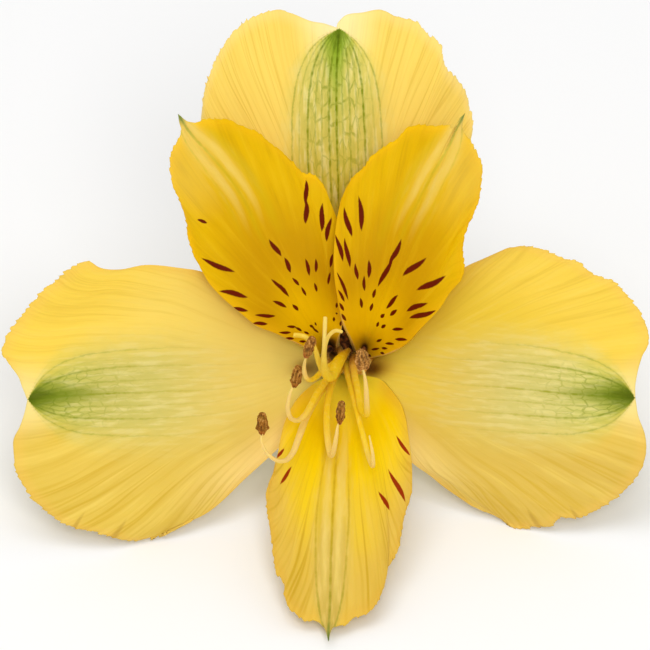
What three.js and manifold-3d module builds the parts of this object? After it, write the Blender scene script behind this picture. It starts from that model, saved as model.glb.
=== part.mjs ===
// One open alstroemeria bloom, as picked: six tepals, six stamens, the style, the ovary and its pedicel.
//
// It is drawn in the flower's own frame, in millimetres: u to the right and v up as one looks into
// the bloom, and w along the flower's axis, out of the throat. The frame's zero is the middle of the
// top of the ovary. At the end the bloom is leant back until it rests on the pedicel and on the low
// lobes of its two side tepals.

import * as THREE from 'three';
import { mergeVertices } from 'three/addons/utils/BufferGeometryUtils.js';
import Module from 'manifold-3d';

const wasm = await Module();
wasm.setup();

// --- Driving dimensions, mm and degrees ---------------------------------------------------------

const axisRise = 36;               // how steeply the flower's axis points up from the table
const throat = [2.26, 5.93, 8.25]; // where the flower's zero lies over the table
const bladeThickness = 0.6;
const seat = 0.3;                  // gap between a piece and what carries it

const outerRing = 3.3;             // radius on which the outer claws stand on the ovary
const innerRing = 2.4;
const stamenRing = 1.45;
const outerClaw = 2.6;             // width of an outer tepal's claw at its root
const innerClaw = 1.9;

const toothPitch = 1.5;            // spacing of the teeth along a tepal's margin
const toothDepth = 0.34;
const bladeRowCount = 11;          // rows of facets from root to margin, and facets across the first
const rootVeins = 3;               // and the last of them
const marginVeins = 40;

const filamentRoot = 0.36;         // radius of a filament at its root and under its anther
const filamentTip = 0.2;
const styleRadius = 0.55;
const stigmaRadius = 0.34;

const ovaryLength = 9.6;
const ovaryRadius = 3.9;
const ovaryRib = 0.32;             // how far its six ribs stand out
const pedicelRadius = 1.15;
const pedicelRun = 22;             // length that lies on the table
const pedicelFlat = 0.12;          // how deep the resting flat is

const colours = {
  outer: 0xf0d264, inner: 0xe8ae14, lower: 0xf5d21c, filament: 0xe8cf74,
  anther: 0x96552a, style: 0xe6c234, ovary: 0x7fa03c, pedicel: 0x8aa24e,
};

// Height w over the distance that a vein has gone out from its root, for an outer and an inner tepal.
const outerRise = [
  [0, 0.4], [1.7, 4.0], [4.7, 8.0], [8.7, 11.8], [14.7, 15.8], [21.7, 19], [29.7, 21.3], [38.7, 22],
];
const innerRise = [
  [0, 0.4], [1.6, 5.5], [3.6, 9.5], [7.6, 14.5], [13.6, 19.5], [21.6, 25], [31.6, 31], [35.6, 33],
];

// Each outline is seen along the flower's axis. It goes clockwise: up one edge from the claw to the
// shoulder, along the toothed margin to the tip, on to the other shoulder, and the other edge.
const tepals = [
  {
    name: 'outer_tepal_top', kind: 'outer', clawAt: 90,
    firstEdge: [[-2.7, 5.8], [-5.2, 9.9], [-9.7, 15.1], [-13.6, 19.8], [-16.0, 23.8], [-17.0, 27.1]],
    firstMargin: [[-16.6, 30.0], [-15.9, 32.3], [-14.9, 34.7], [-14.0, 36.3], [-12.4, 38.1], [-11.2, 39.0],
      [-9.1, 39.9], [-7.8, 40.1], [-6.4, 39.7], [-4.0, 38.8], [-2.3, 38.5], [-0.8, 38.0]],
    lastMargin: [[-0.5, 39.0], [0.1, 39.5], [2.0, 39.8], [4.2, 40.1], [6.1, 39.3], [8.3, 38.7], [9.8, 37.1],
      [10.7, 36.5], [11.9, 33.3], [12.9, 32.2], [14.1, 30.7], [14.5, 28.7], [15.0, 26.9], [14.8, 24.7]],
    lastEdge: [[2.0, 5.8], [4.7, 9.7], [8.1, 14.0], [11.6, 18.6], [13.7, 22.1], [14.8, 24.7]],
    arch: 3.2, crease: 0.5, ruffle: 0.5,
  },
  {
    name: 'inner_tepal_upper_right', kind: 'inner', clawAt: 20,
    firstEdge: [[0.7, 2.3], [-0.3, 3.6], [-0.9, 6.2], [-1.2, 8.7], [-1.3, 11.6], [-1.0, 15.7], [-0.5, 18.1]],
    firstMargin: [[0.0, 19.4], [0.8, 20.6], [2.0, 21.5], [3.0, 22.8], [4.7, 24.1], [6.0, 24.9], [7.3, 26.2],
      [8.5, 26.5], [10.2, 26.4], [11.7, 26.5], [12.4, 26.2], [13.1, 27.3], [13.8, 27.8]],
    lastMargin: [[13.6, 25.8], [14.5, 24.7], [15.1, 23.4], [15.9, 21.7], [15.8, 20.3], [15.6, 18.7],
      [14.3, 15.3], [13.8, 13.2], [13.7, 11.6], [13.8, 9.9], [13.5, 8.6]],
    lastEdge: [[3.0, -0.5], [5.6, 0.3], [7.3, 1.4], [8.7, 2.9], [11.2, 5.6], [12.3, 7.3], [13.5, 8.6]],
    arch: 1.6, crease: 0.3, ruffle: 0.3, seamLift: 1.1,
  },
  {
    name: 'outer_tepal_right', kind: 'outer', clawAt: -30,
    firstEdge: [[5.2, 1.4], [8.7, 5.2], [11.6, 8.4], [14.1, 10.3], [16.0, 11.2], [19.1, 12.6]],
    firstMargin: [[20.8, 12.8], [22.0, 12.6], [23.7, 12.0], [25.3, 11.3], [27.1, 10.7], [28.7, 9.5],
      [31.2, 8.5], [32.4, 7.4], [34.1, 5.1], [35.2, 2.8], [35.2, 1.3], [34.5, -0.1], [33.7, -3.5],
      [33.7, -5.0]],
    lastMargin: [[34.1, -7.3], [34.8, -9.1], [35.0, -10.5], [34.9, -12.0], [34.4, -13.4], [33.6, -14.7],
      [32.4, -16.0], [30.0, -17.8], [27.3, -19.0], [24.9, -19.2], [24.4, -19.8], [22.0, -20.2], [19.4, -19.9],
      [18.1, -19.2], [15.0, -17.9]],
    lastEdge: [[3.8, -6.4], [5.8, -9.9], [7.9, -12.6], [9.8, -14.0], [11.6, -15.5], [15.0, -17.9]],
    arch: 1.2, crease: 0.5, ruffle: 0.4, sag: 7.9,
  },
  {
    name: 'inner_tepal_lower', kind: 'inner', clawAt: -90,
    firstEdge: [[3.0, -2.6], [4.2, -2.9], [5.3, -4.0], [6.4, -5.5], [7.0, -7.1], [7.3, -8.8], [7.8, -12.9],
      [7.8, -15.8]],
    firstMargin: [[7.0, -18.5], [6.5, -20.1], [6.0, -22.6], [5.2, -24.2], [4.9, -25.8], [4.1, -27.8],
      [2.5, -29.7], [1.0, -30.2], [-0.1, -31.0], [-1.2, -31.2], [-2.0, -33.0]],
    lastMargin: [[-2.8, -30.9], [-3.7, -30.5], [-4.4, -30.6], [-5.4, -29.9], [-6.4, -29.1], [-7.0, -27.8],
      [-7.3, -25.9], [-8.0, -25.0], [-8.4, -22.1], [-8.8, -19.7], [-9.1, -17.2], [-8.8, -14.8]],
    lastEdge: [[-3.5, -3.3], [-5.6, -5.2], [-7.0, -7.8], [-7.7, -10.7], [-8.1, -12.9], [-8.8, -14.8]],
    arch: 1.4, crease: -0.3, ruffle: 0.3, reach: 1.08,
  },
  {
    name: 'outer_tepal_left', kind: 'outer', clawAt: -150,
    firstEdge: [[-3.5, -5.2], [-5.2, -8.1], [-7.8, -10.9], [-11.2, -14.0], [-16.0, -18.4], [-20.1, -20.3]],
    firstMargin: [[-22.0, -21.2], [-24.0, -21.7], [-25.7, -21.7],
      [-29.3, -20.6], [-31.4, -20.2], [-34.1, -18.8], [-36.5, -16.5], [-37.4, -15.2], [-38.3, -13.4],
      [-38.5, -11.7], [-38.5, -9.8], [-37.8, -8.4], [-37.2, -6.6], [-36.9, -5.2]],
    lastMargin: [[-37.4, -4.0], [-37.9, -2.6], [-39.0, -1.0], [-39.9, 0.3], [-39.2, 2.3], [-37.8, 4.4],
      [-36.5, 5.8], [-35.2, 7.4], [-33.6, 8.7], [-32.2, 9.9], [-30.9, 10.7], [-29.7, 11.0]],
    lastEdge: [[-5.2, 1.7], [-9.3, 5.0], [-13.4, 7.9], [-16.7, 9.7], [-19.0, 10.1], [-23.3, 10.5],
      [-26.4, 10.0], [-28.5, 10.2], [-29.7, 11.0]],
    arch: 1.2, crease: 0.5, ruffle: 0.4, sag: 4.6,
  },
  {
    name: 'inner_tepal_upper_left', kind: 'inner', clawAt: 150,
    firstEdge: [[-4.8, 0.9], [-8.3, 2.6], [-10.3, 3.4], [-12.4, 5.1], [-14.2, 6.6], [-15.8, 8.3],
      [-17.0, 10.3]],
    firstMargin: [[-17.8, 12.6], [-18.4, 15.0], [-19.4, 18.3], [-20.0, 20.3], [-20.2, 22.2], [-19.9, 23.7],
      [-19.3, 24.7], [-18.8, 25.8], [-19.3, 27.7]],
    lastMargin: [[-18.3, 26.9], [-17.3, 26.7], [-16.4, 27.1], [-14.8, 27.2], [-13.1, 27.1], [-11.6, 26.3],
      [-10.2, 25.8], [-8.8, 24.7], [-7.1, 23.4], [-5.7, 22.0], [-4.9, 21.0], [-3.7, 20.8], [-2.3, 19.3],
      [-1.6, 17.8]],
    lastEdge: [[-0.8, 3.5], [-0.2, 5.8], [0.1, 8.7], [0.0, 12.2], [-0.6, 15.1], [-1.6, 17.8]],
    arch: 1.6, crease: 0.3, ruffle: 0.3, seamLift: -1.1,
  },
];

// Stamens in their order round the style: root angle, the filament's route after its root, and the
// anther, given by its middle, the direction it points in and its length, width and depth.
const stamens = [
  {
    rootAt: 130,
    route: [[-1.1, 0.9, 6], [-1.6, -0.6, 10], [-2.7, -2.1, 14], [-3.5, -2.7, 18], [-4.3, -2.9, 21],
      [-4.9, -1.8, 24], [-4.6, -0.5, 25.7]],
    anther: { at: [-4.1, 1.05, 26.4], along: [0.35, 1.0, 0.35], size: [2.6, 1.2, 1.1] },
  },
  {
    rootAt: 180,
    route: [[-1.5, -0.3, 6], [-1.9, -2.0, 10.5], [-2.4, -4.1, 14], [-3.8, -6.4, 17.5], [-5.2, -7.7, 20.5],
      [-6.2, -7.3, 22.5], [-6.7, -5.8, 24.5], [-6.3, -4.1, 26.0]],
    anther: { at: [-5.8, -2.5, 26.9], along: [0.2, 1.0, 0.4], size: [2.6, 1.2, 1.1] },
  },
  {
    rootAt: 225,
    route: [[-0.95, -1.25, 6], [-1.4, -3.1, 10.5], [-2.3, -6.2, 15.5], [-3.7, -9.7, 19.8], [-5.3, -12.0, 23],
      [-7.2, -12.8, 25.5], [-8.4, -12.0, 27], [-9.3, -10.8, 28], [-9.7, -9.6, 28.7]],
    anther: { at: [-9.7, -7.9, 29.4], along: [0.0, 1.0, 0.4], size: [2.6, 1.4, 1.2] },
  },
  {
    rootAt: 270,
    route: [[0, -1.55, 6], [-0.3, -3.4, 10.4], [-0.8, -6.6, 15.8], [-1.4, -10.2, 20.2], [-1.6, -11.5, 22.7],
      [-1.4, -10.8, 25], [-1.0, -9.2, 27], [-0.8, -8.2, 27.9]],
    anther: { at: [-0.5, -6.5, 28.8], along: [0.1, 1.0, 0.45], size: [2.8, 1.1, 1.1] },
  },
  {
    rootAt: 315,
    route: [[0.95, -1.2, 6], [1.0, -2.7, 10], [1.2, -5.4, 14.5], [1.9, -8.8, 19], [2.7, -11.9, 22.5],
      [3.2, -12.9, 25], [3.2, -11.6, 27], [2.8, -9.3, 28.6]],
  },
  {
    rootAt: 0,
    route: [[1.6, -0.15, 6], [2.1, -1.8, 9.8], [2.4, -4.6, 14], [2.6, -6.6, 17.5], [2.6, -6.8, 20],
      [2.5, -5.2, 23], [2.4, -3.4, 25], [2.2, -2.1, 26.1]],
    anther: { at: [2.0, -0.6, 27], along: [-0.1, 1.0, 0.7], size: [2.6, 1.7, 1.3] },
  },
];

const styleRoute = [
  [0, 0, seat], [0.1, 0.25, 6], [0.2, 0.3, 11], [-0.5, -0.7, 15], [-1.4, -2.0, 18.5], [-1.9, -2.8, 22],
];
const stigmas = [
  [[-1.9, -2.8, 21.6], [-1.9, -2.6, 24], [-2.0, -1.2, 26.4], [-2.2, 1.4, 28.2], [-2.3, 4.4, 29.4]],
  [[-1.9, -2.8, 21.6], [-1.6, -2.4, 23.6], [-1.5, -0.9, 25.2], [-1.9, 0.9, 26.2], [-1.5, 2.5, 26.8],
    [-0.2, 2.8, 27.6]],
  [[-1.9, -2.8, 21.6], [-2.5, -2.2, 23.4], [-2.9, -0.7, 24.0], [-3.4, 0.9, 23.6], [-4.3, 2.2, 23.0],
    [-6.0, 2.4, 23.2]],
];

// --- Curves -------------------------------------------------------------------------------------

const radians = THREE.MathUtils.degToRad;
const clamp = THREE.MathUtils.clamp;
const smooth = (x, low, high) => THREE.MathUtils.smoothstep(x, low, high);

// A curve through knots [x, y] that bends evenly between them.
function knotCurve(knots, x) {
  let i = 0;
  while (i < knots.length - 2 && x > knots[i + 1][0]) {
    i += 1;
  }
  const chord = (k) => (knots[k + 1][1] - knots[k][1]) / (knots[k + 1][0] - knots[k][0]);
  const slope = (k) => {
    if (k === 0) return chord(0);
    if (k === knots.length - 1) return chord(k - 1);
    return (chord(k - 1) + chord(k)) / 2;
  };
  const span = knots[i + 1][0] - knots[i][0];
  const f = clamp((x - knots[i][0]) / span, 0, 1);
  const h = f * f * (3 - 2 * f);
  return knots[i][1] * (1 - h) + knots[i + 1][1] * h
    + span * (f * (1 - f) ** 2 * slope(i) - f * f * (1 - f) * slope(i + 1));
}

// A smooth path through points in the plane, read by its share of length from 0 to 1.
function planePath(points) {
  const far = [0];
  for (let i = 1; i < points.length; i += 1) {
    far.push(far[i - 1] + Math.hypot(points[i][0] - points[i - 1][0], points[i][1] - points[i - 1][1]));
  }
  const length = far[far.length - 1];
  const us = points.map((p, i) => [far[i], p[0]]);
  const vs = points.map((p, i) => [far[i], p[1]]);
  const at = (share) => [knotCurve(us, share * length), knotCurve(vs, share * length)];
  return { at, length };
}

// --- Tepals -------------------------------------------------------------------------------------

function planTepal(t) {
  const ring = t.kind === 'outer' ? outerRing : innerRing;
  const halfClaw = (t.kind === 'outer' ? outerClaw : innerClaw) / 2;
  const a = radians(t.clawAt);
  const root = (s) => [
    ring * Math.cos(a) + s * halfClaw * Math.sin(a),
    ring * Math.sin(a) - s * halfClaw * Math.cos(a),
  ];
  const shoulder = t.firstEdge[t.firstEdge.length - 1];
  return {
    ...t,
    root,
    rise: t.kind === 'outer' ? outerRise : innerRise,
    first: planePath([root(-1), ...t.firstEdge]),
    last: planePath([root(1), ...t.lastEdge]),
    marginA: planePath([shoulder, ...t.firstMargin]),
    marginB: planePath([t.firstMargin[t.firstMargin.length - 1], ...t.lastMargin]),
  };
}

// The outline's point at s, from -1 at the first shoulder through 0 at the tip to 1 at the last.
function marginPoint(plan, s) {
  return s < 0 ? plan.marginA.at(s + 1) : plan.marginB.at(s);
}

// A vein runs from the root, t = 0, to the margin, t = 1, and s says which vein it is. The two edges
// pull the veins near them into their own shape.
function veinPoint(plan, s, t) {
  const near = plan.root(s);
  const far = marginPoint(plan, s);
  const share = (s + 1) / 2;
  const pull = (edge, side) => {
    const from = plan.root(side);
    const to = marginPoint(plan, side);
    const p = edge.at(t);
    return [p[0] - (1 - t) * from[0] - t * to[0], p[1] - (1 - t) * from[1] - t * to[1]];
  };
  const a = pull(plan.first, -1);
  const b = pull(plan.last, 1);
  return [0, 1].map((k) => (1 - t) * near[k] + t * far[k] + (1 - share) * a[k] + share * b[k]);
}

// Height of the tepal's middle surface over a point of its outline.
function bladeHeight(plan, u, v, s, t) {
  const out = smooth(t, 0.15, 1);
  const root = plan.root(s);
  let w = knotCurve(plan.rise, Math.hypot(u - root[0], v - root[1])) * (plan.reach ?? 1);
  w -= plan.arch * s * s * out;
  w -= plan.crease * Math.exp(-((s / 0.12) ** 2)) * out;
  w += plan.ruffle * out * out * (Math.sin(9 * s + plan.clawAt) + 0.6 * Math.sin(17 * s + 2 * plan.clawAt));
  if (plan.sag) {
    w -= plan.sag * clamp((-4 - v) / 18, 0, 1.3) ** 2;
  }
  if (plan.seamLift) {
    const seam = Math.sign(-plan.seamLift) * s;
    w += plan.seamLift * smooth(seam, 0.1, 0.8) * smooth(t, 0.05, 0.2);
  }
  return w;
}

function bladePoint(plan, s, t, outward = 0) {
  const middle = new THREE.Vector2(...veinPoint(plan, s, t));
  if (outward) {
    const inner = new THREE.Vector2(...veinPoint(plan, s, t - 0.04));
    middle.addScaledVector(middle.clone().sub(inner).normalize(), outward);
  }
  return new THREE.Vector3(middle.x, middle.y, bladeHeight(plan, middle.x, middle.y, s, t));
}

function bladeNormal(plan, s, t) {
  const ds = s > 0.98 ? -0.02 : 0.02;
  const dt = t > 0.97 ? -0.03 : 0.03;
  const here = bladePoint(plan, s, t);
  const across = bladePoint(plan, s + ds, t).sub(here).multiplyScalar(Math.sign(ds));
  const along = bladePoint(plan, s, t + dt).sub(here).multiplyScalar(Math.sign(dt));
  return across.cross(along).normalize();
}

// How far tooth number n stands out: no two neighbours are alike, and the run repeats nowhere.
const toothReach = (n) => toothDepth * (0.6 + 0.25 * Math.sin(2.3 * n) + 0.15 * Math.sin(5.1 * n + 1));

// Stations along the toothed margin, each with its s and how far it stands out of the outline.
function toothedMargin(plan) {
  const stations = [];
  [[plan.marginA, -1], [plan.marginB, 0]].forEach(([path, start]) => {
    const teeth = Math.round(path.length / toothPitch);
    for (let n = 0; n < teeth; n += 1) {
      const reach = toothReach(n + 40 * start) * smooth(n, 0, 3);
      stations.push({ s: start + n / teeth, t: 1, out: 0 });
      stations.push({ s: start + (n + 0.6) / teeth, t: 1, out: reach });
    }
  });
  stations.push({ s: 1, t: 1, out: 0 });
  return stations;
}

// Rows of stations from the root to just inside the margin. A row has more veins the further out it is.
function bladeRows() {
  const rows = [];
  for (let r = 0; r < bladeRowCount; r += 1) {
    const share = r / (bladeRowCount - 1);
    const count = Math.round(rootVeins + (marginVeins - rootVeins) * share);
    const row = [];
    for (let i = 0; i <= count; i += 1) {
      row.push({ s: -1 + 2 * i / count, t: 0.94 * share ** 1.25, out: 0 });
    }
    rows.push(row);
  }
  return rows;
}

// A tepal is a thin closed body: a front and a back face split alike, and a rim between them.
function bladeGeometry(plan) {
  const half = bladeThickness / 2;
  const rings = [...bladeRows(), toothedMargin(plan)];

  const points = [];
  rings.flat().forEach((station) => {
    const middle = bladePoint(plan, station.s, station.t, station.out);
    const normal = bladeNormal(plan, station.s, station.t);
    station.front = points.push(middle.clone().addScaledVector(normal, half)) - 1;
    station.back = points.push(middle.clone().addScaledVector(normal, -half)) - 1;
  });

  const faces = [];
  const sheet = (a, b, c) => {
    faces.push([a.front, b.front, c.front], [a.back, c.back, b.back]);
  };
  const rim = (a, b) => {
    faces.push([b.front, a.front, a.back], [b.front, a.back, b.back]);
  };
  for (let r = 0; r < rings.length - 1; r += 1) {
    const low = rings[r];
    const high = rings[r + 1];
    let i = 0;
    let j = 0;
    while (i < low.length - 1 || j < high.length - 1) {
      const lowNext = i < low.length - 1 ? low[i + 1].s + low[i].s : Infinity;
      const highNext = j < high.length - 1 ? high[j + 1].s + high[j].s : Infinity;
      if (lowNext < highNext) {
        sheet(low[i], low[i + 1], high[j]);
        i += 1;
      } else {
        sheet(low[i], high[j + 1], high[j]);
        j += 1;
      }
    }
    rim(high[0], low[0]);
    rim(low[low.length - 1], high[high.length - 1]);
  }
  const root = rings[0];
  for (let i = 0; i < root.length - 1; i += 1) {
    rim(root[i], root[i + 1]);
  }
  const margin = rings[rings.length - 1];
  for (let j = 0; j < margin.length - 1; j += 1) {
    rim(margin[j + 1], margin[j]);
  }
  return faceGeometry(points, faces);
}

function faceGeometry(points, faces) {
  const geometry = new THREE.BufferGeometry();
  const values = new Float32Array(points.flatMap((p) => [p.x, p.y, p.z]));
  geometry.setAttribute('position', new THREE.BufferAttribute(values, 3));
  geometry.setIndex(faces.flat());
  return geometry;
}

// --- Round pieces -------------------------------------------------------------------------------

// A closed body of rings of points, with a flat fan over each end.
function ringedBody(rings) {
  const sides = rings[0].length;
  const points = rings.flat();
  const faces = [];
  for (let r = 0; r < rings.length - 1; r += 1) {
    for (let k = 0; k < sides; k += 1) {
      const a = r * sides + k;
      const b = r * sides + (k + 1) % sides;
      faces.push([a, b, b + sides], [a, b + sides, a + sides]);
    }
  }
  const top = (rings.length - 1) * sides;
  for (let k = 1; k < sides - 1; k += 1) {
    faces.push([0, k + 1, k], [top, top + k, top + k + 1]);
  }
  return faceGeometry(points, faces);
}

// A round thread along a route. radiusAt gives its radius over the share of its length.
function thread(route, steps, sides, radiusAt) {
  const curve = new THREE.CatmullRomCurve3(route.map((p) => new THREE.Vector3(...p)), false, 'centripetal');
  const frames = curve.computeFrenetFrames(steps);
  const rings = [];
  for (let i = 0; i <= steps; i += 1) {
    const middle = curve.getPointAt(i / steps);
    const radius = radiusAt(i / steps);
    const ring = [];
    for (let k = 0; k < sides; k += 1) {
      const turn = 2 * Math.PI * (k + 0.5) / sides;
      ring.push(middle.clone()
        .addScaledVector(frames.normals[i], radius * Math.cos(turn))
        .addScaledVector(frames.binormals[i], radius * Math.sin(turn)));
    }
    rings.push(ring);
  }
  return ringedBody(rings);
}

function filamentGeometry({ rootAt, route }) {
  const a = radians(rootAt);
  const root = [stamenRing * Math.cos(a), stamenRing * Math.sin(a), seat];
  return thread([root, ...route], 20, 6, (f) => filamentRoot + (filamentTip - filamentRoot) * f);
}

// An anther is an oval body with four pollen lobes. Its filament ends just under it.
function antherGeometry({ at, along, size }) {
  const rows = 9;
  const sides = 12;
  const axis = new THREE.Vector3(...along).normalize();
  const side = new THREE.Vector3(1, 0, 0).addScaledVector(axis, -axis.x).normalize();
  const depth = axis.clone().cross(side);
  const rings = [];
  for (let r = 0; r <= rows; r += 1) {
    const angle = Math.PI * (0.06 + 0.88 * r / rows);
    const girth = Math.sin(angle) ** 0.7;
    const ring = [];
    for (let k = 0; k < sides; k += 1) {
      const turn = 2 * Math.PI * k / sides;
      const lobe = 1 + 0.14 * Math.cos(4 * turn + Math.PI);
      ring.push(new THREE.Vector3(...at)
        .addScaledVector(axis, -0.5 * size[0] * Math.cos(angle))
        .addScaledVector(side, 0.5 * size[1] * girth * lobe * Math.cos(turn))
        .addScaledVector(depth, 0.5 * size[2] * girth * lobe * Math.sin(turn)));
    }
    rings.push(ring);
  }
  return ringedBody(rings);
}

function toManifold(geometry) {
  const plain = mergeVertices(geometry, 1e-4);
  return new wasm.Manifold(new wasm.Mesh({
    numProp: 3,
    vertProperties: plain.attributes.position.array,
    triVerts: new Uint32Array(plain.index.array),
  }));
}

function fromManifold(solid) {
  const { vertProperties, triVerts } = solid.getMesh();
  const geometry = new THREE.BufferGeometry();
  geometry.setAttribute('position', new THREE.BufferAttribute(vertProperties, 3));
  geometry.setIndex(Array.from(triVerts));
  return geometry;
}

// The style parts into three stigma branches, which curl back at their tips.
function styleGeometry() {
  const trunk = toManifold(thread(styleRoute, 14, 8, () => styleRadius));
  return fromManifold(stigmas.reduce(
    (whole, route) => whole.add(toManifold(thread(route, 14, 6, (f) => stigmaRadius * (1.2 - 0.5 * f)))),
    trunk,
  ));
}

// The ovary is a ribbed urn under the tepals, drawn in to the pedicel.
function ovaryGeometry() {
  const sides = 36;
  const shape = [
    [0, 0.97], [0.08, 1.0], [0.25, 1.0], [0.45, 0.9], [0.65, 0.7], [0.82, 0.48], [0.93, 0.36], [1, 0.33],
  ];
  const rings = shape.map(([down, girth]) => {
    const ring = [];
    for (let k = 0; k < sides; k += 1) {
      const turn = 2 * Math.PI * k / sides;
      const rib = ovaryRib * Math.cos(6 * turn + Math.PI) * smooth(1 - down, 0, 0.3);
      const radius = ovaryRadius * girth + rib;
      ring.push(new THREE.Vector3(radius * Math.cos(turn), radius * Math.sin(turn), -down * ovaryLength));
    }
    return ring;
  });
  return ringedBody(rings.reverse());
}

// The pedicel leaves the ovary along the flower's axis, bends down flat and lies on the table. Its
// route is in table coordinates.
function pedicelGeometry() {
  const rise = radians(axisRise);
  const start = new THREE.Vector3(
    throat[0],
    throat[1] + (ovaryLength + seat) * Math.cos(rise),
    throat[2] - (ovaryLength + seat) * Math.sin(rise),
  );
  const low = pedicelRadius - pedicelFlat;
  const drop = start.z - low;
  const bend = drop / (1 - Math.cos(rise));
  const route = [];
  for (let i = 0; i <= 5; i += 1) {
    const slope = rise * (1 - i / 5);
    route.push([
      start.x,
      start.y + bend * (Math.sin(rise) - Math.sin(slope)),
      low + bend * (1 - Math.cos(slope)),
    ]);
  }
  const flatFrom = route[5][1];
  route.push([start.x + 0.3, flatFrom + pedicelRun / 2, low]);
  route.push([start.x + 1.2, flatFrom + pedicelRun, low]);
  return thread(route, 24, 12, (f) => pedicelRadius * (1.08 - 0.08 * smooth(f, 0, 0.4)));
}

// --- The bloom, leant back on the table ---------------------------------------------------------

// Whatever would reach below the table is pressed flat against it.
function restOnTable(geometry) {
  const position = geometry.attributes.position;
  for (let i = 0; i < position.count; i += 1) {
    position.setZ(i, Math.max(position.getZ(i), 0));
  }
  return geometry;
}

const onTable = new THREE.Matrix4()
  .makeTranslation(...throat)
  .multiply(new THREE.Matrix4().makeRotationX(Math.PI / 2 - radians(axisRise)));

const bloom = new THREE.Group();

function addPiece(name, geometry, colour, roughness = 0.6) {
  const material = new THREE.MeshStandardMaterial({ color: colour, roughness, metalness: 0 });
  const mesh = new THREE.Mesh(geometry, material);
  mesh.name = name;
  bloom.add(mesh);
}

tepals.map(planTepal).forEach((plan) => {
  const lower = plan.name === 'inner_tepal_lower';
  const colour = plan.kind === 'outer' ? colours.outer : lower ? colours.lower : colours.inner;
  addPiece(plan.name, restOnTable(bladeGeometry(plan).applyMatrix4(onTable)), colour);
});

stamens.forEach((stamen, i) => {
  addPiece(`filament_${i + 1}`, filamentGeometry(stamen).applyMatrix4(onTable), colours.filament);
  if (stamen.anther) {
    addPiece(`anther_${i + 1}`, antherGeometry(stamen.anther).applyMatrix4(onTable), colours.anther, 0.9);
  }
});

addPiece('style', styleGeometry().applyMatrix4(onTable), colours.style);
addPiece('ovary', ovaryGeometry().applyMatrix4(onTable), colours.ovary);
addPiece('pedicel', restOnTable(pedicelGeometry()), colours.pedicel);

export default bloom;
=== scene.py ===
"""The looks of one open alstroemeria bloom: fine tepals, stamens, style, ovary and pedicel.

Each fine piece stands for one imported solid. Lengths are in mm until a mesh is made of them.
"""

import math
from types import SimpleNamespace

import bpy
import numpy as np
from mathutils import Matrix, Vector, noise


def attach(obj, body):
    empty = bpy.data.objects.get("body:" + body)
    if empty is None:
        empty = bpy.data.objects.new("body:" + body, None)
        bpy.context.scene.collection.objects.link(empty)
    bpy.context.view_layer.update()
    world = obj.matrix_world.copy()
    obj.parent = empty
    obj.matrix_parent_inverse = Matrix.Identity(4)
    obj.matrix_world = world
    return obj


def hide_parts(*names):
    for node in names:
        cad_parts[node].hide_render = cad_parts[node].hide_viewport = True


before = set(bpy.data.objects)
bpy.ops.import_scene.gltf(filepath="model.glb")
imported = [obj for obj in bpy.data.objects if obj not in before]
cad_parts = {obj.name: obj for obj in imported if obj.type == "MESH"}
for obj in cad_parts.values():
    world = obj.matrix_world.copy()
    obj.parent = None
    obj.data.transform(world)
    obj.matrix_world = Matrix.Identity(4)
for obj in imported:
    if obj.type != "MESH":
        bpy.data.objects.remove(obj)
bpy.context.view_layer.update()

MM = 0.001

# --- The flower's own frame ---
# u to the right, v up and w along the flower's axis out of the throat. Its zero is the middle of
# the top of the ovary.

AXIS_RISE = math.radians(36)
THROAT = np.array([2.26, 5.93, 8.25])
U = np.array([1.0, 0.0, 0.0])
V = np.array([0.0, math.sin(AXIS_RISE), math.cos(AXIS_RISE)])
W = np.array([0.0, -math.cos(AXIS_RISE), math.sin(AXIS_RISE)])


def on_table(points):
    """Flower points (..., 3) as points of the table's frame."""
    points = np.asarray(points, float)
    return THROAT + points[..., :1] * U + points[..., 1:2] * V + points[..., 2:] * W


def numbers(text):
    """The rows of numbers in a text such as "1,2 3,4"."""
    return np.array([row.split(",") for row in text.split()], float)


def smooth(x, low, high):
    """0 up to low, 1 from high on, and smooth between."""
    f = np.clip((np.asarray(x, float) - low) / (high - low), 0, 1)
    return f * f * (3 - 2 * f)


def srgb(red, green, blue):
    """A colour given as seen on a screen, 0 to 255, in linear light."""
    values = np.array([red, green, blue]) / 255
    linear = np.where(values <= 0.04045, values / 12.92, ((values + 0.055) / 1.055) ** 2.4)
    return (*[float(x) for x in linear], 1.0)


def add_object(name, data):
    thing = bpy.data.objects.new(name, data)
    bpy.context.scene.collection.objects.link(thing)
    return thing


# --- Camera and light ---

CAMERA_AWAY = 1600          # from the flower's zero, along its axis
FRAME_WIDTH = 75.58         # across the picture, at the depth of the tepals
FRAME_DEPTH = 1580
SENSOR = 36
LOOK_AT = (-2.33, 3.49)

# Name, place in m, width in m and watts. Both lights look at LIT_SPOT.
LIGHTS = [("key", (-0.35, -0.5, 1.8), 1.6, 11.8), ("front", (0.15, -1.3, 1.1), 0.6, 9.3)]
LIT_SPOT = (0, 0, 0.02)
SKY = 0.6

camera_data = bpy.data.cameras.new("camera")
camera_data.sensor_width = SENSOR
camera_data.lens = SENSOR * FRAME_DEPTH / FRAME_WIDTH
camera_data.clip_start = 0.1
camera_data.clip_end = 50
camera = add_object("camera", camera_data)
eye = on_table([*LOOK_AT, CAMERA_AWAY]) * MM
camera.matrix_world = Matrix([[U[k], V[k], W[k], eye[k]] for k in range(3)] + [[0, 0, 0, 1]])
bpy.context.scene.camera = camera

bpy.context.scene.view_settings.view_transform = "Standard"

world = bpy.data.worlds.new("studio")
bpy.context.scene.world = world
world.use_nodes = True
background = world.node_tree.nodes["Background"].inputs
background["Color"].default_value = (1, 1, 1, 1)
background["Strength"].default_value = SKY

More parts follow.
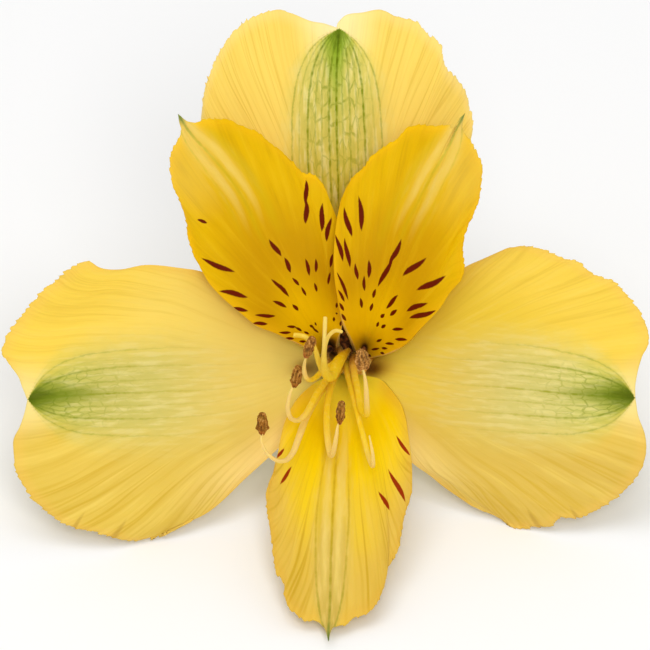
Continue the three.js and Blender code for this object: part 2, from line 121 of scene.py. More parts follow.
for name, place, width, watts in LIGHTS:
    data = bpy.data.lights.new(name, "AREA")
    data.shape = "DISK"
    data.size = width
    data.energy = watts
    light = add_object(name, data)
    light.location = place
    light.rotation_euler = (Vector(LIT_SPOT) - Vector(place)).to_track_quat("-Z", "Y").to_euler()


# --- Node trees ---


class Value:
    """What a node gives out. It takes +, -, *, / and abs, each of which adds a Math node."""

    def __init__(self, shade, socket):
        self.shade, self.socket = shade, socket

    def __add__(self, other):
        return self.shade.math("ADD", self, other)

    def __sub__(self, other):
        return self.shade.math("SUBTRACT", self, other)

    def __rsub__(self, other):
        return self.shade.math("SUBTRACT", other, self)

    def __mul__(self, other):
        return self.shade.math("MULTIPLY", self, other)

    def __truediv__(self, other):
        return self.shade.math("DIVIDE", self, other)

    def __abs__(self):
        return self.shade.math("ABSOLUTE", self)


def tint(colour):
    """A colour as seen on a screen is turned into linear light, and a Value stays as it is."""
    return srgb(*colour) if isinstance(colour, tuple) else colour


class Shade:
    """One material's node tree, built from short calls. An argument is a number, a colour or a Value."""

    def __init__(self, name, fixed):
        self.material = bpy.data.materials.new(name)
        self.material.use_nodes = True
        self.tree = self.material.node_tree
        self.bsdf = self.tree.nodes["Principled BSDF"]
        for key, value in fixed.items():
            self.bsdf.inputs[key].default_value = value

    def put(self, socket, value):
        if isinstance(value, Value):
            self.tree.links.new(value.socket, socket)
        else:
            socket.default_value = value

    def make(self, kind, inputs, out=0, **settings):
        node = self.tree.nodes.new(kind)
        for key, value in settings.items():
            setattr(node, key, value)
        for key, value in inputs.items():
            self.put(node.inputs[key], value)
        return Value(self, node.outputs[out])

    def field(self, name, out="Fac"):
        """A field of the mesh, as add_piece lays it down."""
        return self.make("ShaderNodeAttribute", {}, out, attribute_name=name)

    def plan(self):
        """The point's place: u, v and 0 on a tepal, u, v and w on the other pieces."""
        return self.field("plan", "Vector")

    def math(self, operation, a, b=0.0, clamp=False):
        return self.make("ShaderNodeMath", {0: a, 1: b}, operation=operation, use_clamp=clamp)

    def greater(self, a, b):
        return self.math("MAXIMUM", a, b)

    def step(self, value, low, high, to_low=0.0, to_high=1.0):
        """to_low below low, to_high above high, and smooth between."""
        inputs = {"Value": value, "From Min": low, "From Max": high, "To Min": to_low, "To Max": to_high}
        return self.make("ShaderNodeMapRange", inputs, interpolation_type="SMOOTHSTEP")

    def mix(self, share, a, b):
        inputs = {0: share, 6: tint(a), 7: tint(b)}
        return self.make("ShaderNodeMix", inputs, 2, data_type="RGBA")

    def noise(self, vector, scale, detail=2.0, roughness=0.5):
        inputs = {"Vector": vector, "Scale": scale, "Detail": detail, "Roughness": roughness}
        return self.make("ShaderNodeTexNoise", inputs)

    def vector(self, x, y):
        return self.make("ShaderNodeCombineXYZ", {0: x, 1: y})

    def up(self):
        """v of the point's place."""
        return self.make("ShaderNodeSeparateXYZ", {0: self.plan()}, 1)

    def ramp(self, value, stops):
        """Colours along a value. A stop is its place and its red, green and blue as seen on a screen."""
        node = self.tree.nodes.new("ShaderNodeValToRGB")
        self.put(node.inputs[0], value)
        points = node.color_ramp.elements
        while len(points) < len(stops):
            points.new(0.5)
        for point, (place, *colour) in zip(points, stops):
            point.position = place
            point.color = srgb(*colour)
        return Value(self, node.outputs[0])

    def around(self, value, size):
        """A value from 0 to 1 as one from -size / 2 to size / 2."""
        return (value - 0.5) * size

    def chance(self, value):
        """A number from 0 to 1 drawn for each value, always the same one."""
        return self.make("ShaderNodeTexWhiteNoise", {"W": value}, noise_dimensions="1D")

    def finish(self, colour, bump, strength, distance, roughness=None):
        self.put(self.bsdf.inputs["Base Color"], colour)
        inputs = {"Height": bump, "Strength": strength, "Distance": distance}
        self.put(self.bsdf.inputs["Normal"], self.make("ShaderNodeBump", inputs))
        if roughness is not None:
            self.put(self.bsdf.inputs["Roughness"], roughness)
        return self.material


# --- Meshes ---


def add_piece(node, points, faces, material, fields):
    """A smooth mesh from table points that stands for a CAD node, with a field of its own for each key."""
    name = node + "_fine"
    mesh = bpy.data.meshes.new(name)
    mesh.from_pydata((np.asarray(points) * MM).tolist(), [], [list(f) for f in faces])
    mesh.polygons.foreach_set("use_smooth", np.ones(len(mesh.polygons), bool))
    for key, values in fields.items():
        values = np.asarray(values, np.float32)
        kind = "FLOAT_VECTOR" if values.ndim == 2 else "FLOAT"
        attribute = mesh.attributes.new(key, kind, "POINT")
        attribute.data.foreach_set("vector" if values.ndim == 2 else "value", values.ravel())
    mesh.materials.append(material)
    mesh.update()
    piece = add_object(name, mesh)
    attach(piece, "root")
    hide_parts(node)


def grid_faces(rows, columns, first, flip):
    """The quads of a grid whose points start at first."""
    a = first + (np.arange(rows - 1)[:, None] * columns + np.arange(columns - 1)).ravel()
    quads = np.stack([a, a + 1, a + columns + 1, a + columns], axis=1)
    return quads[:, ::-1] if flip else quads


def ring_faces(rings, sides):
    """Faces of a closed body of rings of points, with a flat end on each."""
    faces = []
    for r in range(rings - 1):
        for k in range(sides):
            a, b = r * sides + k, r * sides + (k + 1) % sides
            faces.append((a, b, b + sides, a + sides))
    faces.append(tuple(range(sides))[::-1])
    faces.append(tuple(range((rings - 1) * sides, rings * sides)))
    return faces


# --- Curves ---


def knot_curve(knots, x):
    """A curve through knots (x, y) that bends evenly between them."""
    xk, yk = np.asarray(knots, float).T
    i = np.searchsorted(xk[1:-1], x)
    chord = np.diff(yk) / np.diff(xk)
    slope = np.concatenate([chord[:1], (chord[:-1] + chord[1:]) / 2, chord[-1:]])
    span = xk[i + 1] - xk[i]
    f = np.clip((x - xk[i]) / span, 0, 1)
    h = f * f * (3 - 2 * f)
    bend = f * (1 - f) ** 2 * slope[i] - f * f * (1 - f) * slope[i + 1]
    return yk[i] * (1 - h) + yk[i + 1] * h + span * bend


class PlanePath:
    """A smooth path through points in the plane, read by its share of length from 0 to 1."""

    def __init__(self, points):
        points = np.asarray(points, float)
        steps = np.hypot(*np.diff(points, axis=0).T)
        far = np.concatenate([[0], np.cumsum(steps)])
        self.length = far[-1]
        self.us = np.stack([far, points[:, 0]], axis=1)
        self.vs = np.stack([far, points[:, 1]], axis=1)

    def at(self, share):
        x = np.asarray(share, float) * self.length
        return np.stack([knot_curve(self.us, x), knot_curve(self.vs, x)], axis=-1)


CURVE_STEPS = 40        # between two points of a route


def curve_points(route, count):
    """Points evenly spaced along a smooth curve through a route (a centripetal Catmull-Rom spline)."""
    p = np.asarray(route, float)
    p = np.concatenate([[2 * p[0] - p[1]], p, [2 * p[-1] - p[-2]]])
    fine = []
    for i in range(1, len(p) - 2):
        k = np.concatenate([[0], np.cumsum(np.linalg.norm(np.diff(p[i - 1:i + 3], axis=0), axis=1) ** 0.5)])
        x = np.linspace(k[1], k[2], CURVE_STEPS, endpoint=(i == len(p) - 3))[:, None]
        a = [((k[j + 1] - x) * p[i - 1 + j] + (x - k[j]) * p[i + j]) / (k[j + 1] - k[j]) for j in range(3)]
        b = [((k[j + 2] - x) * a[j] + (x - k[j]) * a[j + 1]) / (k[j + 2] - k[j]) for j in range(2)]
        fine.append(((k[2] - x) * b[0] + (x - k[1]) * b[1]) / (k[2] - k[1]))
    fine = np.concatenate(fine)
    far = np.concatenate([[0], np.cumsum(np.linalg.norm(np.diff(fine, axis=0), axis=1))])
    even = np.linspace(0, far[-1], count)
    return np.stack([np.interp(even, far, fine[:, c]) for c in range(3)], axis=1)


def tube(route, rings, sides, radius_at, flat_at=lambda f: 1.0):
    """A closed tube along a route: points, faces and share of the way. flat_at squeezes its depth."""
    path = curve_points(route, rings)
    ahead = np.gradient(path, axis=0)
    ahead /= np.linalg.norm(ahead, axis=1)[:, None]
    share = np.linspace(0, 1, rings)
    turn = 2 * math.pi * np.arange(sides) / sides
    points = []
    side = U
    for k in range(rings):
        side = side - ahead[k] * (side @ ahead[k])
        side = side / np.linalg.norm(side)
        deep = np.cross(ahead[k], side) * flat_at(share[k])
        ring = np.cos(turn)[:, None] * side + np.sin(turn)[:, None] * deep
        points.append(path[k] + radius_at(share[k]) * ring)
    return np.concatenate(points), ring_faces(rings, sides), np.repeat(share, sides)


# --- Tepals: shape ---

# What the outer and the inner tepals have in common. rise is the height over the distance that a
# vein has gone out from its root on the ovary. plain_tip is where the teeth set in beside the tip,
# and dent is how deep the band lies. The band gets to its width over band_grows, and narrows by a
# share between two distances in from the tip.
KINDS = {
    "outer": dict(
        ring=3.3, claw_width=3.2, columns=440, rows=76, tooth=0.5, plain_tip=(4, 13), pleats=26,
        dent=0.11, tip_lift=0, band_grows=3.1, band_narrows=(0.45, 16, 38),
        rise=numbers("0,-0.1 1.7,4 4.7,8 8.7,11.8 14.7,15.8 21.7,19 29.7,21.3 38.7,22"),
    ),
    "inner": dict(
        ring=2.4, claw_width=2.2, columns=260, rows=110, tooth=0.34, plain_tip=(0.5, 3), pleats=16,
        dent=-0.11, tip_lift=1.1, band_grows=3.9, band_narrows=(0.42, 13, 25),
        rise=numbers("0,-0.1 1.6,5.5 3.6,9.5 7.6,14.5 13.6,19.5 21.6,25 31.6,31 35.6,33"),
    ),
}
COMMON = dict(claw=None, folds=(), fan=0.3, reach=1, sag=0, seam_lift=0, pale_side=0)

# Folds along the midrib, drawn as painted highlight on their ridges and painted shade in their
# furrows: place beside it, width, pale or (below 0) dark, and where along it they start and end.
LEFT_FOLDS = [
    (1.0, 0.52, 0.62, (0.3, 2), (17, 9)), (-1.0, 0.52, 0.66, (0.3, 2), (17, 9)),
    (0, 0.36, -0.8, (4, 8), (20, 14)), (-2.2, 0.6, -0.7, (1.5, 5), (20, 14)),
    (2.0, 0.4, -0.4, (5, 9), (18, 13)),
]
RIGHT_FOLDS = [(-place, wide, 0.85 * amount, *ends) for place, wide, amount, *ends in LEFT_FOLDS]
LOWER_FOLDS = [
    (-0.75, 0.36, 0.5, (3, 7), (27, 19)), (0.8, 0.45, 0.6, (3, 7), (27, 20)),
    (0, 0.26, -0.7, (9, 13), (28, 22)), (-1.5, 0.28, -0.6, (9, 13), (28, 22)),
    (1.75, 0.35, -0.3, (9, 13), (26, 20)),
]

# Outlines as in the CAD source, in the flower's plane: up the first edge to the shoulder, along the
# margin to the tip and on to the last shoulder, and up the last edge. The midrib runs from the tip
# inwards, and band is half the width of the paler band along it. A claw that is rolled into a
# channel has three points, which its foot bends through.
TEPALS = [
    dict(
        name="outer_tepal_top", kind="outer", claw_at=90, arch=3.2, crease=0.5, ruffle=0.5, band=5.3,
        first_edge=numbers("-2.7,5.8 -5.2,9.9 -9.7,15.1 -13.6,19.8 -16,23.8 -17,27.1"),
        first_margin=numbers("""-16.6,30 -15.9,32.3 -14.9,34.7 -14,36.3 -12.4,38.1 -11.2,39 -9.1,39.9
            -7.8,40.1 -6.4,39.7 -4,38.8 -2.3,38.5 -0.8,38"""),
        last_margin=numbers("""-0.5,39 0.1,39.5 2,39.8 4.2,40.1 6.1,39.3 8.3,38.7 9.8,37.1 10.7,36.5
            11.9,33.3 12.9,32.2 14.1,30.7 14.5,28.7 15,26.9 14.8,24.7"""),
        last_edge=numbers("2,5.8 4.7,9.7 8.1,14 11.6,18.6 13.7,22.1 14.8,24.7"),
        midrib=numbers("-0.6,38 -0.9,34 -1,29 -0.9,24 -0.7,17 -0.3,6"),
    ),
    dict(
        name="inner_tepal_upper_right", kind="inner", claw_at=20, pale_side=-1, folds=RIGHT_FOLDS, arch=1.6,
        crease=0.3, ruffle=0.3, seam_lift=1.1, band=1.9,
        first_edge=numbers("0.7,1.7 -0.05,3.2 -0.5,4.6 -0.85,6.4 -1.2,8.7 -1.3,11.6 -1,15.7 -0.5,18.1"),
        first_margin=numbers("""0,19.4 0.8,20.6 2,21.5 3,22.8 4.7,24.1 6,24.9 7.3,26.2 8.5,26.5 10.2,26.4
            11.7,26.5 12.4,26.2 13.1,27.3 13.8,27.8"""),
        last_margin=numbers("""13.6,25.8 14.5,24.7 15.1,23.4 15.9,21.7 15.8,20.3 15.6,18.7 14.3,15.3
            13.8,13.2 13.7,11.6 13.8,9.9 13.5,8.6"""),
        last_edge=numbers("3.6,-0.3 5.6,0.3 7.3,1.4 8.7,2.9 11.2,5.6 12.3,7.3 13.5,8.6"),
        claw=numbers("1.28,0.14 2.4,1.15 2.9,-0.45"),
        midrib=numbers("13.8,27.8 12.86,26.16 12.36,24.85 11.6,23.4 10,20.8 8.6,18 7.1,15.1 4,6 2.6,1"),
    ),
    dict(
        name="outer_tepal_right", kind="outer", claw_at=-30, arch=1.2, crease=0.5, ruffle=0.4, sag=6.8,
        band=5.1,
        first_edge=numbers("4,0.3 5.4,1.4 8.7,5.2 11.6,8.4 14.1,10.3 16,11.2 19.1,12.6"),
        first_margin=numbers("""20.8,12.8 22,12.6 23.7,12 25.3,11.3 27.1,10.7 28.7,9.5 31.2,8.5 32.4,7.4
            34.1,5.1 35.2,2.8 35.2,1.3 34.5,-0.1 33.7,-3.5 33.7,-5"""),
        last_margin=numbers("""34.1,-7.3 34.8,-9.1 35,-10.5 34.9,-12 34.4,-13.4 33.6,-14.7 32.4,-16 30,-17.8
            27.3,-19 24.9,-19.2 24.4,-19.8 22,-20.2 19.4,-19.9 18.1,-19.2 15,-17.9"""),
        last_edge=numbers("3.8,-6.4 5.8,-9.9 7.9,-12.6 9.8,-14 11.6,-15.5 15,-17.9"),
        midrib=numbers("33.7,-5 27,-4.6 20,-3.9 13,-3.4 5,-2"),
    ),
    dict(
        name="inner_tepal_lower", kind="inner", claw_at=-90, arch=1.4, crease=-0.3, ruffle=0.3, reach=1.08,
        folds=LOWER_FOLDS, fan=0.8, band=1.95,
        first_edge=numbers("3,-2.6 4.2,-2.9 5.3,-4 6.4,-5.5 7,-7.1 7.3,-8.8 7.8,-12.9 7.8,-15.8"),
        first_margin=numbers("""7,-18.5 6.5,-20.1 6,-22.6 5.2,-24.2 4.9,-25.8 4.1,-27.8 2.5,-29.7 1,-30.2
            -0.1,-31 -1.2,-31.2 -2,-32.8"""),
        last_margin=numbers("""-2.8,-30.9 -3.7,-30.5 -4.4,-30.6 -5.4,-29.9 -6.4,-29.1 -7,-27.8 -7.3,-25.9
            -8,-25 -8.4,-22.1 -8.8,-19.7 -9.1,-17.2 -8.8,-14.8"""),
        last_edge=numbers("-3.5,-3.3 -5.6,-5.2 -7,-7.8 -7.7,-10.7 -8.1,-12.9 -8.8,-14.8"),
        midrib=numbers("-2,-33 -1.8,-29 -1.6,-22.5 -1.3,-16 -1,-12 -0.5,-5"),
    ),
    dict(
        name="outer_tepal_left", kind="outer", claw_at=-150, arch=1.2, crease=0.5, ruffle=0.4, sag=3.2,
        band=5.1,
        first_edge=numbers("-3.5,-5.2 -5.2,-8.1 -7.8,-10.9 -11.2,-14 -16,-18.4 -20.1,-20.3"),
        first_margin=numbers("""-22,-21.2 -24,-21.7 -25.7,-21.7 -29.3,-20.6 -31.4,-20.2 -34.1,-18.8
            -36.5,-16.5 -37.4,-15.2 -38.3,-13.4 -38.5,-11.7 -38.5,-9.8 -37.8,-8.4 -37.2,-6.6 -36.9,-5.2"""),
        last_margin=numbers("""-37.4,-4 -37.9,-2.6 -39,-1 -39.9,0.3 -39.2,2.3 -37.8,4.4 -36.5,5.8 -35.2,7.4
            -33.6,8.7 -32.2,9.9 -30.9,10.7 -29.7,11"""),
        last_edge=numbers("""-3.3,1.2 -5.2,2 -9.3,5 -13.4,7.9 -16.7,9.7 -19,10.1 -23.3,10.5 -26.4,10
            -28.5,10.2 -29.7,11"""),
        midrib=numbers("-36.9,-5.2 -30,-4.6 -22,-4.3 -13,-3.8 -5,-2"),
    ),
    dict(
        name="inner_tepal_upper_left", kind="inner", claw_at=150, pale_side=1, folds=LEFT_FOLDS, arch=1.6,
        crease=0.3, ruffle=0.3, seam_lift=-1.1, band=1.9,
        first_edge=numbers("-4.8,0.9 -8.3,2.6 -10.3,3.4 -12.4,5.1 -14.2,6.6 -15.8,8.3 -17,10.3"),
        first_margin=numbers("""-17.8,12.6 -18.4,15 -19.4,18.3 -20,20.3 -20.2,22.2 -19.9,23.7 -19.3,24.7
            -18.8,25.8 -19.3,27.7"""),
        last_margin=numbers("""-18.3,26.9 -17.3,26.7 -16.4,27.1 -14.8,27.2 -13.1,27.1 -11.6,26.3 -10.2,25.8
            -8.8,24.7 -7.1,23.4 -5.7,22 -4.9,21 -3.7,20.8 -2.3,19.3 -1.6,17.8"""),
        last_edge=numbers("""-0.85,1.1 -0.74,1.85 -0.45,2.85 -0.2,3.8 -0.05,5.8 0.1,8.7 0,12.2 -0.6,15.1
            -1.6,17.8"""),
        claw=numbers("-2.7,-0.15 -1.95,1.3 -0.66,0.3"),
        midrib=numbers("""-19.3,27.7 -17.8,25.5 -15.6,23.15 -13.3,20.4 -11.6,17.8 -10.1,14.4 -6.6,8.4
            -3.6,1.8"""),
    ),
]


def plan_tepal(tepal):
    """A tepal's values, with its root, edges and margins as functions and paths."""
    plan = SimpleNamespace(**{**COMMON, **KINDS[tepal["kind"]], **tepal})
    half = plan.claw_width / 2
    a = math.radians(plan.claw_at)

    def root(s):
        s = np.asarray(s, float)
        if plan.claw is not None:
            start, middle, end = plan.claw
            s = s[..., None]
            return middle + s * (end - start) / 2 + s * s * ((start + end) / 2 - middle)
        return np.stack([
            plan.ring * math.cos(a) + s * half * math.sin(a),
            plan.ring * math.sin(a) - s * half * math.cos(a),
        ], axis=-1)

    plan.root = root
    plan.tip = plan.first_margin[-1]
    plan.first = PlanePath([root(-1), *plan.first_edge])
    plan.last = PlanePath([root(1), *plan.last_edge])
    plan.margin_a = PlanePath([plan.first_edge[-1], *plan.first_margin])
    plan.margin_b = PlanePath([plan.tip, *plan.last_margin])
    return plan


def margin_point(plan, s):
    """The outline's point at s, from -1 at the first shoulder through 0 at the tip to 1 at the last."""
    s = np.asarray(s, float)
    first = plan.margin_a.at(np.clip(s + 1, 0, 1))
    last = plan.margin_b.at(np.clip(s, 0, 1))
    return np.where((s < 0)[..., None], first, last)


def vein_point(plan, s, t):
    """A vein s runs from the root, t = 0, to the margin, t = 1. The edges pull the veins near them."""
    share = ((s + 1) / 2)[..., None]
    t1 = t[..., None]

    def pull(edge, side):
        side = np.array(float(side))
        return edge.at(t) - (1 - t1) * plan.root(side) - t1 * margin_point(plan, side)

    straight = (1 - t1) * plan.root(s) + t1 * margin_point(plan, s)
    return straight + (1 - share) * pull(plan.first, -1) + share * pull(plan.last, 1)


def blade_height(plan, uv, s, t):
    """Height of the tepal's middle surface, with the form of the solid and no finer."""
    out = smooth(t, 0.15, 1)
    away = np.hypot(*np.moveaxis(uv - plan.root(s), -1, 0))
    w = knot_curve(plan.rise, away) * plan.reach
    w = w - plan.arch * s * s * out
    w = w - plan.crease * np.exp(-((s / 0.12) ** 2)) * out
    waves = np.sin(9 * s + plan.claw_at) + 0.6 * np.sin(17 * s + 2 * plan.claw_at)
    w = w + plan.ruffle * out * out * waves
    w = w - plan.sag * np.clip((-4 - uv[..., 1]) / 18, 0, 1.3) ** 2
    seam = -np.sign(plan.seam_lift) * s
    return w + plan.seam_lift * smooth(seam, 0.1, 0.8) * smooth(t, 0.05, 0.2)


TOOTH_PITCH = 1.05
FINE_PITCH = 0.44


def tooth_reach(mm):
    """How far the margin stands out, about -0.3 to 0.7: teeth that lean the way mm runs, and finer ones."""
    phase = mm / TOOTH_PITCH + 0.35 * np.sin(mm * 0.9) + 0.15 * np.sin(mm * 2.3 + 1)
    index = np.floor(phase)
    part = phase - index
    size = 0.35 + 0.65 * np.abs(np.sin(index * 2.4 + 0.7))
    return size * part ** 1.5 * smooth(1 - part, 0, 0.2) + 0.2 * (mm / FINE_PITCH % 1) - 0.3


TEETH_FROM = 0.955      # the share of the way out at which the teeth set in


def toothed(plan, uv, s, t):
    """The grid's points with teeth on the margin, and the teeth's reach. They lean towards the tip."""
    step = vein_point(plan, s, np.ones_like(t)) - vein_point(plan, s, np.full_like(t, 0.96))
    step /= np.linalg.norm(step, axis=-1)[..., None]
    length = plan.margin_a.length
    mm = np.where(s < 0, (s + 1) * length, 200 - s * plan.margin_b.length)
    from_end = np.minimum(np.abs(s), 1 - np.abs(s)) * length
    depth = plan.tooth * smooth(from_end, 0.2, 2.5) * smooth(np.abs(s) * length, *plan.plain_tip)
    reach = tooth_reach(mm) * depth
    return uv + step * (reach * smooth(t, TEETH_FROM, 1) ** 2)[..., None], reach


RIB_STEPS = 160
RIB_CHUNK = 4000        # points measured at a time


def rib_fields(plan, uv):
    """Distance in from the tip along the midrib, and how far out to its band's side a point is."""
    path = PlanePath(plan.midrib)
    line = path.at(np.linspace(0, 1, RIB_STEPS))
    flat = uv.reshape(-1, 2)
    nearest = np.empty(len(flat), int)
    for start in range(0, len(flat), RIB_CHUNK):
        part = flat[start:start + RIB_CHUNK]
        nearest[start:start + RIB_CHUNK] = np.argmin(((part[:, None] - line) ** 2).sum(-1), axis=1)
    ahead = np.gradient(line, axis=0)
    ahead /= np.linalg.norm(ahead, axis=1)[:, None]
    off = flat - line[nearest]
    along = (off * ahead[nearest]).sum(-1) + nearest / (RIB_STEPS - 1) * path.length
    side = off[:, 0] * ahead[nearest][:, 1] - off[:, 1] * ahead[nearest][:, 0]
    along = along.reshape(uv.shape[:2])
    side = side.reshape(uv.shape[:2])
    # Past the tip there is no band.
    side = np.where(along < 0, 9 * np.where(side < 0, -1, 1), side)
    narrows, narrows_from, narrows_to = plan.band_narrows
    half = plan.band * (1 - np.exp(-np.maximum(along, 0.02) / plan.band_grows))
    half = half * (1 - narrows * smooth(along, narrows_from, narrows_to)) + 0.02
    return along, np.clip(side / half, -6, 6), side, half


def lane_fields(plan, rib, half):
    """Lanes between the long veins: a count that is whole on each vein, mm to a lane, and their ink."""
    places, inks = LANES[plan.name].T
    beyond = np.arange(1.3, 6.5, 0.3)
    places = np.concatenate([places[0] + 1 - beyond[::-1], places, places[-1] - 1 + beyond])
    inks = np.concatenate([0 * beyond, inks, 0 * beyond])
    count = np.arange(len(places), dtype=float)
    lane = np.interp(rib, places, count)
    wide = np.diff(places)[np.clip(lane.astype(int), 0, len(places) - 2)] * half
    return lane, wide, np.interp(rib, places, inks)


STREAK_SWELL = 0.98
STREAK_SPREAD = 0.05
STREAK_PEAK = 0.15      # where along it a streak is widest, from -1 to 1


def streak_field(streaks, uv):
    """Below 0 inside the nearest streak, above 0 outside. A streak is a spindle, blunter at its far end."""
    field = np.full(uv.shape[:2], 2.0)
    for u0, v0, u1, v1, width in streaks:
        width = width * STREAK_SWELL + STREAK_SPREAD
        start, end = np.array([u0, v0]), np.array([u1, v1])
        length = np.linalg.norm(end - start)
        ahead = (end - start) / length
        off = uv - start
        along = ((off @ ahead + 0.1) / (length + 0.2)) * 2 - 1
        sway = 0.05 * width * np.sin(2.6 * along + 5 * u0) * min(length, 3)
        side = np.abs(off[..., 0] * ahead[1] - off[..., 1] * ahead[0] + sway)
        from_peak = along - STREAK_PEAK
        from_peak = from_peak / np.where(from_peak < 0, 1 + STREAK_PEAK, 1 - STREAK_PEAK)
        field = np.minimum(field, from_peak ** 2 + side / (width / 2) - 1)
    return field


def rim_distance(plan, uv, s, t):
    """Distance from the nearest of the margin and the two side edges."""
    lines = (margin_point(plan, s), plan.first.at(t), plan.last.at(t))
    return np.min([np.linalg.norm(uv - line, axis=-1) for line in lines], axis=0)


def throat_shade_field(spots, uv):
    """Painted shade: soft spots (u, v, half width, half height, strength), added up."""
    field = np.zeros(uv.shape[:2])
    for u, v, wide, high, strength in spots:
        field += strength * np.exp(-((uv[..., 0] - u) / wide) ** 2 - ((uv[..., 1] - v) / high) ** 2)
    return field


def pale_field(plan, side, along):
    """Painted highlight on ridges (above 0) and painted shade in furrows (below 0) by the midrib, and a paler
    blade.
    """
    field = np.zeros_like(side)
    for place, wide, amount, starts, ends in plan.folds:
        here = place * (1 - np.exp(-np.maximum(along, 0) / 2.6))
        field += amount * np.exp(-((side - here) / wide) ** 2) * smooth(along, *starts) * smooth(along, *ends)
    # The blade is paler between the midrib and its far edge.
    outward = side * plan.pale_side
    return field + 0.3 * smooth(outward, 0.4, 2.4) * smooth(outward, 7.5, 4.5) * smooth(along, 14, 6)


CAD_HALF = 0.3          # half the thickness of the solid tepals, whose back these keep
THICK_ROOT = 0.5
THICK_RIM = 0.22
RIM_SHARE = 0.35        # of that thickness is left right at the margin
VEIN_DEPTH = 0.045
VEIN_WIDTH = 0.16
LEAST_HEIGHT = 0.36     # of the middle surface over the table
FRONT_HEIGHT = 0.05     # of the front over the table, where the back lies on it


def above_table(uv, w):
    """w raised where the middle surface would come too near the table, without a crease."""
    height = on_table(np.concatenate([uv, w[..., None]], axis=-1))[..., 2]
    short = LEAST_HEIGHT - height
    return w + 0.5 * (short + np.sqrt(short ** 2 + 0.02)) / W[2]


def tepal_skin(plan, uv, w, s, t):
    """Points of the front and the back, with their faces."""
    rows, columns = s.shape
    middle = np.concatenate([uv, w[..., None]], axis=-1)
    normal = np.cross(np.gradient(middle, axis=1), np.gradient(middle, axis=0))
    normal /= np.linalg.norm(normal, axis=-1)[..., None] + 1e-12
    if normal[plan.rows // 2, plan.columns // 2, 2] < 0:
        normal = -normal
    thick = THICK_ROOT - (THICK_ROOT - THICK_RIM) * smooth(t, 0.3, 0.97)
    thick = thick * (RIM_SHARE + (1 - RIM_SHARE) * smooth(1 - t, 0, 0.02))
    back = on_table(middle - normal * CAD_HALF)
    front = on_table(middle + normal * (thick[..., None] - CAD_HALF))
    front[..., 2] = np.maximum(front[..., 2], FRONT_HEIGHT)
    back[..., 2] = np.maximum(back[..., 2], 0)

    count = rows * columns
    grid = np.arange(count).reshape(rows, columns)
    loop = np.concatenate([grid[0, :], grid[1:, -1], grid[-1, -2::-1], grid[-2:0:-1, 0]])
    after = np.roll(loop, -1)
    rim = np.stack([loop, after, after + count, loop + count], axis=1)
    faces = [grid_faces(rows, columns, 0, True), grid_faces(rows, columns, count, False), rim]
    return np.concatenate([front.reshape(-1, 3), back.reshape(-1, 3)]), np.concatenate(faces)


def tepal_piece(tepal, material):
    plan = plan_tepal(tepal)
    # Rows from the claw to the margin, closer together towards it.
    steps = 1 - (1 - np.linspace(0, 1, plan.rows + 1)) ** 1.18
    t, s = np.meshgrid(steps, np.linspace(-1, 1, plan.columns + 1), indexing="ij")
    plain = vein_point(plan, s, t)
    uv, reach = toothed(plan, plain, s, t)
    along, rib, side, half = rib_fields(plan, uv)
    lane, lane_mm, ink = lane_fields(plan, rib, half)

    # Relief that the solid leaves out: pleats, sunken veins, a waved margin, the band and the tip.
    out = smooth(t, 0.15, 1)
    w = blade_height(plan, uv, s, t)
    warp = 0.8 * np.sin(5 * s + 3 * t) + 0.45 * np.sin(19 * s + 4 * t + 2)
    w = w + 0.02 * out * np.cos(math.pi * (plan.pleats * s + warp))
    from_vein = np.abs(lane - np.round(lane)) * lane_mm / VEIN_WIDTH
    w = w - VEIN_DEPTH * ink * np.exp(-from_vein ** 2) * smooth(along, 0.5, 3)
    w = w + 0.32 * reach * smooth(t, 0.9, 1) * np.sin(s * 40 + plan.claw_at)
    w = w - plan.dent * smooth(1 - np.abs(rib), 0, 1) * smooth(along, 0, 4)
    w = w + plan.tip_lift * np.exp(-(np.maximum(along, 0) / 1.6) ** 2) * np.exp(-(side / 1.2) ** 2)
    w = above_table(uv, w)
    points, faces = tepal_skin(plan, uv, w, s, t)

    fields = dict(
        vein=s / (1 + plan.fan * t * t), out=t, rib=rib, inward=along, side=side,
        lane=lane, lane_mm=lane_mm, ink=ink, rim=rim_distance(plan, plain, s, t),
        mark=streak_field(STREAKS.get(plan.name, []), uv), pale=pale_field(plan, side, along),
        from_tip=np.linalg.norm(uv - plan.tip, axis=-1), shade=throat_shade_field(THROAT_SHADE_SPOTS.get(plan.name, []), uv),
    )
    fields = {key: np.tile(values.ravel(), 2) for key, values in fields.items()}
    fields["behind"] = np.repeat([0.0, 1.0], s.size)
    fields["plan"] = np.tile(np.concatenate([uv, 0 * w[..., None]], axis=-1).reshape(-1, 3), (2, 1))
    add_piece(plan.name, points, faces, material, fields)


# --- Tepals: markings ---

